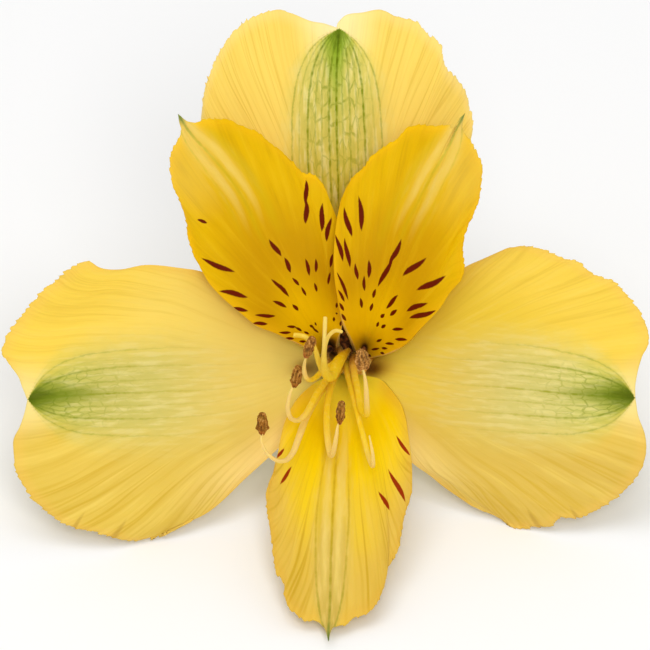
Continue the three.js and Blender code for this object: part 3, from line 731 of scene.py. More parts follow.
# Streaks: u and v of one end, u and v of the other, and the greatest width.
STREAKS = {
    "inner_tepal_upper_left": numbers("""-4.53,20.35,-4.53,17.56,0.49 -4.53,18.02,-4.53,15.35,0.6
        -2.56,17.67,-2.79,14.42,0.58 -1.63,16.05,-2.21,13.26,0.51 -1.4,11.86,-1.74,10.35,0.35
        -1.74,9.77,-1.98,8.37,0.3 -17.09,15.7,-16.05,15.35,0.35 -8.84,13.49,-7.56,11.63,0.53
        -7.09,11.4,-6.4,9.77,0.49 -16.63,11.16,-12.91,9.65,0.58 -6.16,9.07,-5.47,8.26,0.35
        -5.12,8.02,-4.65,7.09,0.3 -4.65,11.28,-4.19,9.42,0.4 -3.43,11.28,-3.43,9.77,0.35
        -3.6,8.49,-3.37,7.56,0.3 -8.6,8.95,-6.63,6.98,0.47 -14.65,7.44,-11.4,6.86,0.6
        -8.49,6.4,-6.98,5.7,0.42 -6.16,5.99,-5.58,5.35,0.4 -13.26,5.47,-11.4,5.23,0.42
        -10.58,4.65,-8.26,4.65,0.4 -10.81,3.72,-9.19,3.72,0.4 -6.86,3.37,-5.93,3.37,0.3
        -5.87,3.26,-5.23,2.91,0.28 -4.88,2.79,-4.42,2.56,0.26 -7.79,2.67,-6.51,2.67,0.3
        -7.09,1.98,-6.16,1.98,0.28 -5.47,1.63,-4.77,1.63,0.26 -4.19,3.6,-3.84,3.37,0.3
        -3.57,3.9,-3.43,3.66,0.23 -3.72,3.14,-3.49,2.91,0.26 -3.43,3.02,-3.26,2.79,0.26
        -1.24,4.53,-1.28,4.12,0.33 -0.9,6.22,-0.95,5.7,0.28 -1,5.06,-0.86,4.93,0.21
        -0.37,4.07,-0.47,3.58,0.3 -5,2.44,-4.53,2.21,0.21"""),
    "inner_tepal_upper_right": numbers("""1.63,18.37,1.98,14.53,0.58 -0.12,17.09,0.7,13.84,0.58
        -1.05,13.95,-0.23,11.05,0.47 0,13.6,0.52,10.35,0.47 1.16,10.7,1.4,8.95,0.4 2.79,11.1,2.73,9.19,0.44
        2.16,9.3,2.21,7.67,0.35 6.63,13.49,5.23,10.81,0.56 5.58,11.51,3.95,8.14,0.53 3.55,7.79,3.26,6.86,0.4
        9.42,11.4,6.86,9.3,0.65 11.74,9.19,8.49,7.56,0.7 -0.93,9.77,0.35,6.63,0.33 -0.81,7.67,-0.12,6.4,0.3
        -0.7,6.16,-0.23,5.35,0.33 -0.47,4.88,0,4.19,0.33 1.74,6.74,1.92,5.7,0.35 3.21,6.16,2.98,5.35,0.37
        6.28,7.09,4.88,5.58,0.47 9.65,6.16,7.33,5.23,0.58 6.16,5.35,5.41,4.77,0.47 4.65,4.88,4.3,4.53,0.44
        10.58,5.23,7.67,4.3,0.6 4.01,3.95,3.84,3.49,0.33 4.88,3.6,4.42,3.31,0.4 6.98,3.14,5.7,3.02,0.35
        7.44,1.79,6.05,1.93,0.35 4.42,1.86,3.95,1.63,0.3 5.93,1.31,4.94,1.4,0.28 4.19,0.81,3.37,0.64,0.26
        5.12,0.76,4.53,0.86,0.26 4.77,0.15,4.42,0.28,0.26 3.26,-0.17,2.91,0.02,0.26"""),
    "inner_tepal_lower": numbers("""5.99,-9.53,7.51,-11.7,0.37 5.12,-13.37,6.98,-16.98,0.51
        3.95,-15.93,5.12,-17.91,0.44 -7.09,-10.93,-7.97,-11.98,0.33 -6.16,-13.02,-7.56,-15,0.37"""),
    # On the side outer tepals these are painted shade of small folds at the margin.
    "outer_tepal_left": numbers("-25.6,-19.2,-28,-23.2,0.55 -30.3,-18.3,-32.6,-22,0.42"),
    "outer_tepal_right": numbers("21.2,-17.9,23.7,-21.6,0.5 26.1,-17.6,28.2,-20.4,0.4"),
}

# Soft brown spots of painted shade in the throat, deepest in the holes of the rolled claws: (u, v, half
# width, half height, strength).
THROAT_SHADE_SPOTS = {
    "inner_tepal_upper_right": [
        (2.35, 0.9, 0.45, 0.42, 1.0), (2.2, 1.6, 0.95, 1.0, 0.3), (1.0, 1.4, 0.5, 1.2, 0.12),
    ],
    "inner_tepal_upper_left": [(-1.7, 1.15, 0.55, 0.6, 1.1), (-1.2, 1.6, 1.2, 1.3, 0.36)],
    "outer_tepal_right": [(3.0, -1.8, 1.1, 0.9, 0.3), (4.1, -1.5, 2.1, 1.5, 0.34)],
    "outer_tepal_left": [(-4.7, -1.7, 1.9, 1.4, 0.4)],
    "outer_tepal_top": [(0.0, 3.4, 1.8, 1.6, 1.2)],
}

# Long veins of the band: place across it in half widths, and ink.
LANES = {
    "outer_tepal_top": numbers("""-1,0.5 -0.84,0.25 -0.62,0.85 -0.46,0.45 -0.3,0.65 -0.14,0.4 0,1 0.17,0.8
        0.34,0.45 0.48,0.5 0.65,0.85 0.84,0.3 1,0.5"""),
    "outer_tepal_right": numbers("""-1,0.5 -0.8,0.2 -0.6,0.8 -0.44,0.3 -0.29,0.6 -0.14,0.3 0,1 0.15,0.3
        0.3,0.6 0.45,0.3 0.6,0.85 0.8,0.25 1,0.5"""),
    "inner_tepal_upper_right": numbers("-1,0.5 0,1 1,0.12"),
    "inner_tepal_upper_left": numbers("-1,0.12 0,1 1,0.5"),
    "inner_tepal_lower": numbers("-1,0.75 0,1 1,0.75"),
}
LANES["outer_tepal_left"] = LANES["outer_tepal_right"]

PETAL = {
    "Subsurface Weight": 0.12, "Subsurface Scale": 0.0004, "Subsurface Radius": (1.0, 0.7, 0.25),
    "Specular IOR Level": 0.22, "Specular Tint": (1.0, 0.78, 0.2, 1.0),
}
TEPAL_FIELDS = ("vein", "out", "rib", "inward", "side", "rim", "mark", "pale", "from_tip", "shade", "behind")
BAND_SCALE = 30.0       # colours along the band are placed by their share of this distance from the tip
FORKS = [(0.0, 0.0), (0.45, 0.42), (0.62, -0.3)]        # where fine veins fork, and how far aside

OUTER_LOOK = dict(
    throat=(255, 236, 128), throat_ends=(0.02, 0.4), ground=(237, 207, 100), far=(236, 201, 76),
    # low is the colour of the painted shade on the side tepals' lower halves.
    # pale and furrow are the folds' painted highlight and painted shade.
    low=(214, 182, 80), low_share=0.75, pale=(240, 206, 92), furrow=(206, 172, 4), deep=(204, 166, 50),
    light=(238, 210, 106), streaks=21, streaky=0.22, low_streaks=0.2, fine=0.5, fine_up=0.45, forks=22,
    green_strokes=0.22, rim_share=0, cream=(255, 224, 142), cream_side=-1, edge=(234, 188, 88), edge_mm=2,
    edge_share=0.45, edge_out=(0.25, 0.6),
    band=[(0, 172, 178, 62), (0.14, 184, 184, 90), (0.3, 196, 188, 106), (0.5, 202, 191, 108),
          (0.8, 220, 199, 112)],
    band_ends=(32, 14), band_side=(1.75, 0.4), band_share=0.88, patch=(234, 219, 150), patch_share=0.42,
    notch=(240, 222, 150), notch_share=0.65,
    veins=[(0, 70, 94, 4), (0.14, 108, 126, 20), (0.3, 144, 148, 36), (0.5, 174, 164, 54),
           (0.8, 198, 176, 66)],
    vein_mm=0.19, vein_ends=(30, 8), vein_share=0.8, wander=1, net_mm=1.5, net_far=17, net_share=1,
    glow=0.34, core_mm=14, core_share=0.5, tip=(103, 122, 14), tip_dark=(60, 75, 2), tip_mm=10.2,
    # brown is the colour of the painted shade in the throat.
    # mark, on the outer tepals, is the colour of that painted fold shade.
    tip_narrow=2.5, tip_aside=-0.4, brown=(164, 100, 6), mark=(176, 134, 52), mark_soft=0.6, mark_share=0.5,
)
RIGHT_LOOK = dict(
    OUTER_LOOK, throat=(255, 230, 84), ground=(227, 193, 58), core_share=0.3, tip_aside=0.3,
    brown=(202, 126, 0), cream_side=1, cream=(255, 230, 146), low=(208, 175, 86),
    band=[(0, 172, 178, 62), (0.14, 196, 196, 104), (0.3, 208, 200, 124), (0.5, 208, 196, 120),
          (0.8, 220, 196, 104)],
)
TOP_LOOK = dict(
    OUTER_LOOK, throat=(230, 196, 84), ground=(244, 212, 104), far=(242, 209, 98), low_share=0,
    edge=(246, 214, 128), edge_share=0.6, fine=0.6, streaky=0.16, forks=28, streaks=24, cream_side=0,
    deep=(212, 174, 60), fine_up=0.8, notch=(250, 236, 180), notch_share=0.6, glow=0.22, net_share=0.85,
    wander=0.55,
    band=[(0, 186, 190, 78), (0.16, 208, 198, 102), (0.4, 212, 196, 96), (0.6, 212, 194, 70)],
    band_ends=(60, 45), band_side=(1.45, 0.6), patch=(234, 220, 144), patch_share=0.7, vein_ends=(60, 30),
    vein_share=0.95,
    veins=[(0, 84, 106, 10), (0.2, 112, 132, 12), (0.5, 136, 142, 12), (0.7, 154, 146, 16)],
    vein_mm=0.2, net_mm=2.2, net_far=40, core_mm=15, core_share=0.5, tip=(142, 174, 38),
    tip_dark=(78, 98, 10), tip_mm=9, tip_aside=0.3,
)
INNER_LOOK = dict(
    OUTER_LOOK, throat=(255, 208, 0), ground=(202, 150, 0), far=(224, 178, 0), low_share=0,
    pale=(234, 204, 104), throat_ends=(0.05, 0.42), rim_share=0.7, cream_side=0, deep=(188, 142, 0),
    light=(232, 190, 24), streaks=11, streaky=0.34, low_streaks=0, fine=0.16, fine_up=1, forks=18,
    wander=0.22, green_strokes=0.08, edge=(236, 182, 14), edge_mm=2.2, edge_share=0.6, edge_out=(0.1, 0.25),
    band=[(0, 228, 210, 130), (0.1, 234, 208, 116), (0.25, 228, 196, 88), (0.4, 218, 182, 50),
          (0.6, 206, 158, 4)],
    band_ends=(16, 8), band_side=(1.9, 0.4), band_share=0.4, patch_share=0.15, notch=(238, 200, 70),
    notch_share=0.3,
    veins=[(0, 110, 128, 50), (0.08, 160, 164, 56), (0.16, 196, 180, 56), (0.3, 202, 170, 24),
           (0.6, 196, 150, 0)],
    vein_mm=0.18, vein_ends=(22, 8), vein_share=0.7, net_mm=0, core_share=0, tip=(150, 158, 80),
    tip_dark=(112, 130, 62), tip_mm=2.4, tip_narrow=2.2, tip_aside=0, brown=(170, 118, 4), mark=(98, 4, 0),
    mark_soft=0.2, mark_share=1,
)
LOWER_LOOK = dict(
    INNER_LOOK, throat=(255, 244, 66), throat_ends=(0.08, 0.34), ground=(240, 204, 0), rim_share=0,
    pale=(232, 206, 110), far=(218, 180, 72), low_share=0, deep=(194, 154, 30), light=(230, 198, 96),
    streaky=0.24, fine=0.58, forks=17, wander=0.12, edge=(216, 168, 60), edge_share=0.5,
    band=[(0, 192, 166, 76), (0.15, 200, 170, 78), (0.4, 210, 180, 88), (0.55, 226, 192, 66),
          (0.75, 226, 186, 10)],
    band_ends=(29, 19), band_side=(1.7, 0.6), patch=(236, 206, 116), band_share=0.85, patch_share=0.4,
    veins=[(0, 96, 124, 50), (0.12, 150, 144, 34), (0.4, 180, 152, 26), (0.7, 196, 152, 4)],
    vein_mm=0.19, vein_share=0.75, vein_ends=(26, 15), tip_mm=3, tip=(132, 142, 66), tip_dark=(70, 98, 44),
    mark=(146, 36, 0),
)


def tepal_ground(m, look, at):
    """The ground from the throat out, broad soft patches, painted shade low on the side tepals and a cream
    edge.
    """
    reach = at.out + m.around(m.noise(at.plan, 0.12, 3), 0.35)
    # Near the throat the colour is partly the base's own paler tint and partly painted light that lifts the
    # shade there, most on the inner tepals.
    colour = m.mix(m.step(at.out, *look.throat_ends), look.throat, look.ground)
    colour = m.mix(m.step(reach, 0.4, 0.9), colour, look.far)
    # Painted shade on the lower half of the side tepals, which tilts away from the light.
    colour = m.mix(at.low * look.low_share, colour, look.low)
    cream = m.step(at.vein * look.cream_side, 0.5, 0.95) * m.step(at.out, 0.85, 0.5)
    return m.mix(cream, colour, look.cream)


def tepal_streaks(m, look, at, colour):
    """Streaks along the veins: broad soft ones, and fine forked ones that come and go. Also their ink."""
    along = m.vector(at.vein * look.streaks, at.out * 1.7)
    soft = m.noise(along, 1.0, 4, 0.6)
    streaky = (at.low * look.low_streaks + look.streaky) * m.step(at.out, 0.2, 0.6, 0.25, 1.0)
    colour = m.mix(m.step(soft, 0.5, 0.68, 0.0, streaky), colour, look.deep)
    colour = m.mix(m.step(soft, 0.5, 0.32, 0.0, streaky), colour, look.light)
    line = at.vein * look.forks + m.around(m.noise(along, 0.55, 3), 0.06 * look.forks)
    fork = at.out + m.around(m.noise(along, 0.9, 1), 0.5)
    fine = 0
    for fork_from, aside in FORKS:
        branch = line + m.step(fork, fork_from, fork_from + 0.4, 0.0, aside)
        number = m.math("ROUND", branch)
        ink = m.step(m.chance(number + aside), 0.1, 0.9, 0.1, 1.1)
        fine = m.greater(fine, m.step(abs(branch - number), 0.14, 0.02) * ink)
    fine = fine * m.step(m.noise(along, 0.5, 3), 0.35, 0.62, 0.25, 1.0) * look.fine
    fine = fine * m.step(at.out, 0.35, 0.8) * m.step(at.low, 0, 1, look.fine_up, 1.2)
    colour = m.mix(fine, colour, look.deep)
    # The lighter edge is the margin's own tint on the outer tepals; on the inner tepals it is also painted
    # light on edges that tilt away from the lamps.
    edge = m.step(at.rim, look.edge_mm, 0.0, 0.0, look.edge_share) * m.step(at.out, *look.edge_out)
    return m.mix(edge, colour, look.edge), fine


def tepal_band(m, look, at, colour):
    """The band along the midrib, the folds beside it and the notch. Also the strokes in the band."""
    edge = at.rib_out + m.around(m.noise(at.plan, 0.7, 3), 0.3)
    inside = m.step(edge, *look.band_side) * m.step(at.inward, *look.band_ends)
    colour = m.mix(inside * look.band_share, colour, m.ramp(at.inward / BAND_SCALE, look.band))
    strokes = m.noise(m.vector(at.side * 1.9, at.inward * 0.3), 1.0, 3, 0.5)
    strokes = strokes + m.around(m.noise(at.plan, 0.5, 2), 0.2)
    colour = m.mix(m.step(strokes, 0.46, 0.66) * inside * look.patch_share, colour, look.patch)
    # The folds' painted highlight on the ridges and painted shade in the furrows.
    colour = m.mix(m.math("MULTIPLY", at.pale, 0.85, True), colour, look.pale)
    colour = m.mix(m.math("MULTIPLY", at.pale, -0.75, True), colour, look.furrow)
    notch = m.step(at.from_tip, 6.0, 0.5) * m.step(at.rib_out, 0.9, 1.2)
    colour = m.mix(notch * look.notch_share, colour, look.notch)
    core = m.step(at.rib_out, 0.34, 0.02) * m.step(at.inward, look.core_mm, 3.0)
    return m.mix(core * look.core_share, colour, look.tip), strokes


def band_veins(m, look, at):
    """Ink of the band: the long veins that meet at the tip, and the net between them."""
    wander = m.around(m.noise(at.plan, 0.45, 3), 0.35) + m.around(m.noise(at.plan, 1.6, 2), 0.22)
    lane = m.field("lane") + wander * look.wander
    off = abs(lane - m.math("ROUND", lane)) * m.field("lane_mm")
    ink = m.field("ink") * m.step(m.noise(at.plan, 1.1, 2), 0.3, 0.7, 0.6, 1.2)
    across = off / m.step(ink, 0.2, 1.0, look.vein_mm * 0.8, look.vein_mm * 1.3)
    long_veins = m.step(across, 1.0, 0.2) * ink
    if not look.net_mm:
        return long_veins
    glow = m.step(across, 2.6, 0.5) * ink * look.glow
    # The net: cells a lane wide and drawn out along it, near the tip and the midrib.
    warp = m.around(m.noise(at.plan, 1.1, 2), 0.6)
    cell = m.vector(lane + warp, at.inward / look.net_mm + warp)
    border = m.make("ShaderNodeTexVoronoi", {"Vector": cell, "Scale": 1.0, "Randomness": 0.8},
                    voronoi_dimensions="2D", feature="DISTANCE_TO_EDGE")
    there = m.step(at.inward, look.net_far, 4.0, 0.12, 0.8) * m.step(at.rib_out, 1.0, 0.35)
    there = there * m.step(m.noise(at.plan, 0.7, 2), 0.3, 0.6, 0.4, 1.0)
    net = m.step(border, 0.16, 0.0) * there * look.net_share
    return m.greater(long_veins, m.greater(net, glow))


def tepal_tip(m, look, at, colour, strokes):
    """Green that gathers at the tip, a little more on one side of it, and the veins. Also their ink."""
    ragged = m.around(m.noise(m.vector(at.side * 2.2, at.inward * 0.7), 1.0, 3), 3.0)
    from_tip = at.inward + ragged + abs(at.side - look.tip_aside) * look.tip_narrow
    tip = m.step(from_tip, look.tip_mm, look.tip_mm * 0.2) * m.step(at.rib_out, 1.05, 0.7)
    colour = m.mix(tip * 0.9, colour, look.tip)
    veins = band_veins(m, look, at) * m.step(at.inward, *look.vein_ends) * m.step(at.inward, 0.0, 0.4)
    greener = m.step(strokes, 0.54, 0.34) * m.step(at.rib_out, 1.1, 0.6)
    greener = greener * m.step(at.inward, look.vein_ends[0], 4.0, 0.0, look.green_strokes)
    vein_colour = m.ramp(at.inward / BAND_SCALE, look.veins)
    colour = m.mix(m.greater(veins * look.vein_share, greener), colour, vein_colour)
    darkest = m.step(from_tip, look.tip_mm * 0.5, 0.0) * m.step(at.rib_out, 1.0, 0.6)
    return m.mix(darkest * 0.75, colour, look.tip_dark), veins


def tepal_marks(m, look, at, colour):
    """The greener back, painted shade deep in the throat, a painted highlight on the claws' rims, and the
    marks.
    """
    base = m.greater(m.step(at.out, 0.4, 0.04), m.step(at.rib_out, 0.8, 0.1, 0.0, 0.5))
    colour = m.mix(base * at.behind * 0.7, colour, (150, 165, 62))
    # Painted shade deep in the throat, from the shade spots: brown deepening to near black.
    dark = m.ramp(at.shade, [(0.0, *look.brown), (0.6, 92, 56, 12), (1.0, 26, 15, 4)])
    colour = m.mix(m.step(at.shade, 0.0, 0.55) * (1.0 - at.behind), colour, dark)
    # A painted highlight along the rims of the rolled claws, on the upper inner tepals.
    rim_highlight = m.step(at.rim, 0.16, 0.07) * m.step(at.out, 0.3, 0.2) * m.step(abs(at.vein), 0.8, 0.9)
    colour = m.mix(rim_highlight * look.rim_share, colour, (232, 190, 112))
    # The marks, the tepal's own streaks on the inner tepals and painted shade of small margin folds on the
    # outer ones, have a slightly uneven edge, and show faintly behind.
    mark = at.mark + m.around(m.noise(at.plan, 3.5, 3), 0.28)
    mark = m.step(mark, look.mark_soft, -look.mark_soft)
    through = m.step(at.behind, 0.0, 1.0, look.mark_share, look.mark_share * 0.3)
    return m.mix(mark * through, colour, look.mark)


def tepal_material(name, look):
    m, look = Shade(name, PETAL), SimpleNamespace(**look)
    at = SimpleNamespace(plan=m.plan(), **{key: m.field(key) for key in TEPAL_FIELDS})
    at.rib_out = abs(at.rib)
    at.low = m.step(m.up(), -2.0, -13.0)
    colour = tepal_ground(m, look, at)
    colour, fine = tepal_streaks(m, look, at, colour)
    colour, strokes = tepal_band(m, look, at, colour)
    colour, veins = tepal_tip(m, look, at, colour, strokes)
    colour = tepal_marks(m, look, at, colour)
    relief = m.noise(at.plan, 14.0, 2) * 0.5 - fine * 0.5 - veins * 0.5
    gloss = m.step(m.noise(at.plan, 1.3, 3), 0.3, 0.7, 0.45, 0.58)
    return m.finish(colour, relief, 0.3, 0.00006, gloss)


inner_upper = tepal_material("tepal_inner_upper", INNER_LOOK)
TEPAL_MATERIALS = {
    "outer_tepal_top": tepal_material("tepal_outer_top", TOP_LOOK),
    "outer_tepal_left": tepal_material("tepal_outer_left", OUTER_LOOK),
    "outer_tepal_right": tepal_material("tepal_outer_right", RIGHT_LOOK),
    "inner_tepal_lower": tepal_material("tepal_inner_lower", LOWER_LOOK),
    "inner_tepal_upper_left": inner_upper,
    "inner_tepal_upper_right": inner_upper,
}
for tepal in TEPALS:
    tepal_piece(tepal, TEPAL_MATERIALS[tepal["name"]])

# --- Stamens and style ---

STAMEN_RING = 1.45      # radius on which the filaments stand
ROOT_DEPTH = -0.2       # w of their roots
BARE_GIRTH = 0.82       # of the filament without an anther, as a share of the others'
FILAMENT_RADII = numbers("0.4,0.1 1.5,0.19 3.5,0.28 7,0.34 12,0.4 18,0.42")     # over mm from its end

# The same routes as in the CAD source. root_at is where on the ring a filament stands, in degrees.
# shadow darkens its lower part, or lightens it below 0. cream is where it turns pale, as shares of
# its length. An anther's flange is how far its sides stand out near its foot.
STAMENS = [
    dict(
        root_at=130, cream=(0.76, 0.88),
        route=numbers("""-0.4,0.1,4 -0.5,-0.2,8 -1,-0.8,11.5 -1.9,-1.4,14.5 -2.8,-2.05,17 -3.4,-2.6,18.8
            -4,-2.9,20.5 -4.5,-2.65,22 -4.75,-1.6,24 -4.6,-0.5,25.7"""),
        anther=dict(at=[-4.1, 1.05, 26.4], along=[0.35, 1, 0.35], size=[2.6, 1.2, 1.1], tone=0.3),
    ),
    dict(
        root_at=180, shadow=0.25, cream=(0.6, 0.85),
        route=numbers("""-1,-0.9,6 -1.6,-2,10.5 -2.4,-3.3,13.5 -3.2,-4.4,15.8 -3.9,-5.7,18 -4.6,-6.9,19.8
            -5.5,-7.6,21.3 -6.3,-7.3,22.6 -6.65,-6.2,24 -6.5,-4.9,25.3 -6.2,-4,26.1"""),
        anther=dict(at=[-5.6, -2.35, 26.9], along=[0.2, 1, 0.4], size=[2.6, 1.2, 1.1], flange=0.25),
    ),
    dict(
        root_at=225, cream=(0.35, 0.75),
        route=numbers("""-0.95,-1.25,6 -1.6,-2.7,9 -2.6,-4,12 -3.6,-5.6,15 -4.6,-7.5,18.2 -5.45,-9.8,21.2
            -6.1,-11.4,23.4 -6.9,-12.2,25 -7.9,-12.2,26.2 -9,-11.4,27.3 -9.6,-10.3,28.3 -9.7,-9.6,28.7"""),
        anther=dict(at=[-9.6, -7.8, 29.4], along=[0, 1, 0.4], size=[2.6, 1.25, 1.2], flange=0.4),
    ),
    dict(
        root_at=270, cream=(0.55, 0.85),
        route=numbers("""-0.4,-1.5,6 -1.2,-2.6,9.5 -1.8,-4.3,13 -2.1,-6.4,16 -2.1,-8.7,18.6 -1.92,-10.5,20.6
            -1.62,-11.7,22.6 -1.3,-11,24.8 -1,-9.3,27 -0.85,-8.2,27.9"""),
        anther=dict(at=[-0.5, -6.5, 28.8], along=[0.1, 1, 0.45], size=[2.8, 1.02, 1], flange=0.2),
    ),
    dict(
        root_at=315, shadow=-0.15, cream=(0.6, 0.95),
        route=numbers("""0.25,-0.9,5 0.25,-2,9 0.75,-4,13 1.2,-5.8,15.5 1.95,-8.8,19 2.75,-11.9,22.5
            3.2,-12.9,25 3.2,-11.6,27 2.8,-9.3,28.6"""),
    ),
    dict(
        root_at=0, shadow=0.3, cream=(0.7, 0.85),
        route=numbers("""0.9,-0.3,6 1,-1.6,9.8 1.45,-4,14 1.9,-6.3,17.5 2.5,-7,20 2.5,-5.2,23 2.4,-3.4,25
            2.2,-2.1,26.1"""),
        anther=dict(at=[1.95, -0.42, 27], along=[-0.1, 1, 0.7], size=[2.6, 1.55, 1.3], lobes=2, frill=0.14,
                    tone=0.75, grooves=0.2, taper=0.45, blunt=0.36, ridges=7, lumps=0.3),
    ),
]
STYLE_ROUTE = numbers("""0,0,-0.2 0.15,0.35,6 0.35,0.5,11 -0.25,-0.15,14.5 -0.9,-1.05,17.6 -1.3,-1.9,19.8
    -1.5,-2.5,21""")
STIGMAS = [
    numbers("""-1.3,-2.3,20.2 -1.8,-2.6,21.5 -2.3,-2.1,23 -2.47,-1,25 -2.45,0.8,27.3 -2.38,2.4,28.7
        -2.3,4.45,29.4"""),
    numbers("""-1.3,-2.3,20.2 -2,-2.3,22.3 -2.35,-1.2,24.2 -2.4,0.2,25.6 -2.2,1.5,26.4 -1.8,2.35,26.9
        -1.15,2.83,27.2 -0.3,2.7,27.6"""),
    numbers("""-1.3,-2.3,20.2 -2.3,-2.2,22.1 -3,-0.9,23.6 -3.45,0.6,23.9 -3.9,1.5,23.6 -4.7,2.15,23.3
        -6,2.35,23.2"""),
]

ANTHER = dict(
    flange=0, lobes=5, taper=0.16, ridges=9, lumps=0.24, blunt=0.55, grooves=0.09, tone=0, frill=0.13,
)


def filament_material():
    m = Shade("filament", {**PETAL, "Subsurface Weight": 0.3, "Roughness": 0.4})
    # Dark brown at the foot, deep in the throat: painted shade.
    colour = m.ramp(m.field("out"), [
        (0.0, 70, 40, 10), (0.1, 150, 98, 34), (0.2, 220, 172, 64), (0.34, 240, 206, 44), (1.0, 242, 206, 18),
    ])
    colour = m.mix(m.field("cream"), colour, (238, 204, 120))
    streaky = m.noise(m.plan(), 1.6, 3)
    colour = m.mix(m.step(streaky, 0.45, 0.75, 0.0, 0.3), colour, (246, 224, 120))
    return m.finish(colour, streaky, 0.2, 0.00008)


def style_material():
    m = Shade("style", {**PETAL, "Subsurface Weight": 0.3, "Roughness": 0.42})
    # Dark towards the foot, where it stands deep in the throat: painted shade.
    colour = m.ramp(m.field("out"), [
        (0.0, 80, 50, 10), (0.4, 108, 70, 8), (0.48, 164, 118, 8), (0.58, 222, 182, 4),
        (0.7, 230, 194, 40), (0.86, 228, 194, 70), (1.0, 230, 200, 104),
    ])
    streaky = m.noise(m.plan(), 2.2, 3)
    colour = m.mix(m.step(streaky, 0.45, 0.75, 0.0, 0.25), colour, (252, 226, 110))
    return m.finish(colour, streaky, 0.2, 0.00008)


def anther_material():
    m = Shade("anther", {"Roughness": 0.85, "Specular IOR Level": 0.2})
    plan, out, tone = m.plan(), m.field("out"), m.field("tone")
    grain = m.noise(plan, 5.0, 4, 0.65)
    strands = m.make("ShaderNodeVectorMath", {0: plan, 1: (6.0, 1.6, 3.5)}, operation="MULTIPLY")
    strands = m.around(m.noise(strands, 1.0, 3, 0.6), 0.9)
    # Darker in the grooves and hollows and lighter on ridges and lumps: partly painted shade and highlight,
    # partly the pollen's own mottle.
    colour = m.ramp(m.field("crevice") + (m.around(grain, 0.7) + strands), [
        (0.05, 80, 42, 4), (0.35, 128, 78, 14), (0.62, 162, 106, 32), (0.95, 212, 154, 86),
    ])
    olive = m.step(m.noise(plan, 1.6, 3), 0.5, 0.68)
    colour = m.mix(olive * 0.4, colour, (132, 100, 26))
    rust = m.step(out, 0.36, 0.02) * m.step(m.noise(plan, 2.2, 2), 0.35, 0.6)
    colour = m.mix(rust * 0.6, colour, (180, 82, 14))
    colour = m.mix(tone * m.step(grain, 0.35, 0.65, 0.0, 0.5), colour, (196, 148, 84))
    colour = m.mix(tone * m.step(out, 0.07, 0.01) * 0.7, colour, (222, 152, 96))
    return m.finish(colour, grain, 0.5, 0.00006)


def filament_piece(number, stamen, material):
    a = math.radians(stamen["root_at"])
    route = [[STAMEN_RING * math.cos(a), STAMEN_RING * math.sin(a), ROOT_DEPTH], *stamen["route"]]
    girth = BARE_GIRTH
    if "anther" in stamen:
        # The filament runs on into the foot of its anther.
        anther = stamen["anther"]
        along = np.array(anther["along"]) / np.linalg.norm(anther["along"])
        route.append(np.array(anther["at"]) - along * anther["size"][0] * 0.4)
        girth = 1.0
    length = PlanePath(np.array(route)[:, 1:]).length
    to_end, radii = FILAMENT_RADII.T
    points, faces, share = tube(
        route, 110, 20, lambda f: girth * float(np.interp((1 - f) * length, to_end, radii)),
        lambda f: 1 - 0.2 * float(smooth(f, 0.2, 0.6)))
    out = share - stamen.get("shadow", 0) * (1 - share) ** 2
    add_piece(f"filament_{number}", on_table(points), faces, material,
              dict(out=out, cream=smooth(share, *stamen["cream"]), plan=points))


def anther_piece(number, anther, material):
    """A burst pollen sac: lengthwise ridges with a crumb of grains, and a frilled foot."""
    rows, sides = 110, 110
    anther = SimpleNamespace(**{**ANTHER, **anther})
    axis = Vector(anther.along).normalized()
    side = (Vector((1, 0, 0)) - axis * axis.x).normalized()
    depth = axis.cross(side)
    length, width, deep = anther.size
    points, share, crevice = [], [], []
    for r in range(rows):
        f = r / (rows - 1)
        angle = math.pi * (0.03 + 0.94 * f)
        girth = math.sin(angle) ** anther.blunt * (1 + anther.taper * (0.37 - f))
        for k in range(sides):
            turn = 2 * math.pi * k / sides
            across, inward = math.cos(turn) * girth, math.sin(turn) * girth
            at = Vector((across * 0.6, inward * 0.6, 0)) + Vector((number * 3.7, 0, f * length))
            sway = noise.noise(at * 1.1) * 1.6 + noise.noise(at * 3.1) * 0.7
            ridge = abs(math.cos(anther.ridges / 2 * turn + sway)) - 0.6
            grain = 0.45 - noise.voronoi(at * 6.5)[0][0]
            lump = noise.noise(at * 2.6 + Vector((5, 1, 8)))
            swell = 1 + anther.grooves * ridge + 0.16 * grain + anther.lumps * lump
            swell += anther.flange * math.exp(-((f - 0.3) / 0.07) ** 2) * abs(math.cos(turn)) ** 8
            waved = 0.5 + 0.5 * math.cos(anther.lobes * turn + number)
            frill = anther.frill * length * max(0, 1 - f / 0.22) ** 2 * waved
            point = (Vector(anther.at) - axis * (frill + 0.48 * length * math.cos(angle))
                     + side * (0.5 * width * swell * across) + depth * (0.5 * deep * swell * inward))
            points.append(point[:])
            share.append(f)
            # crevice follows the relief, so the colour holds painted shade in grooves and painted highlight
            # on ridges.
            crevice.append(0.48 + 3.0 * anther.grooves * ridge + 0.5 * grain + 0.4 * lump)
    tone = np.full(len(points), anther.tone)
    add_piece(f"anther_{number}", on_table(points), ring_faces(rows, sides), material,
              dict(out=share, crevice=crevice, tone=tone, plan=np.array(points)))


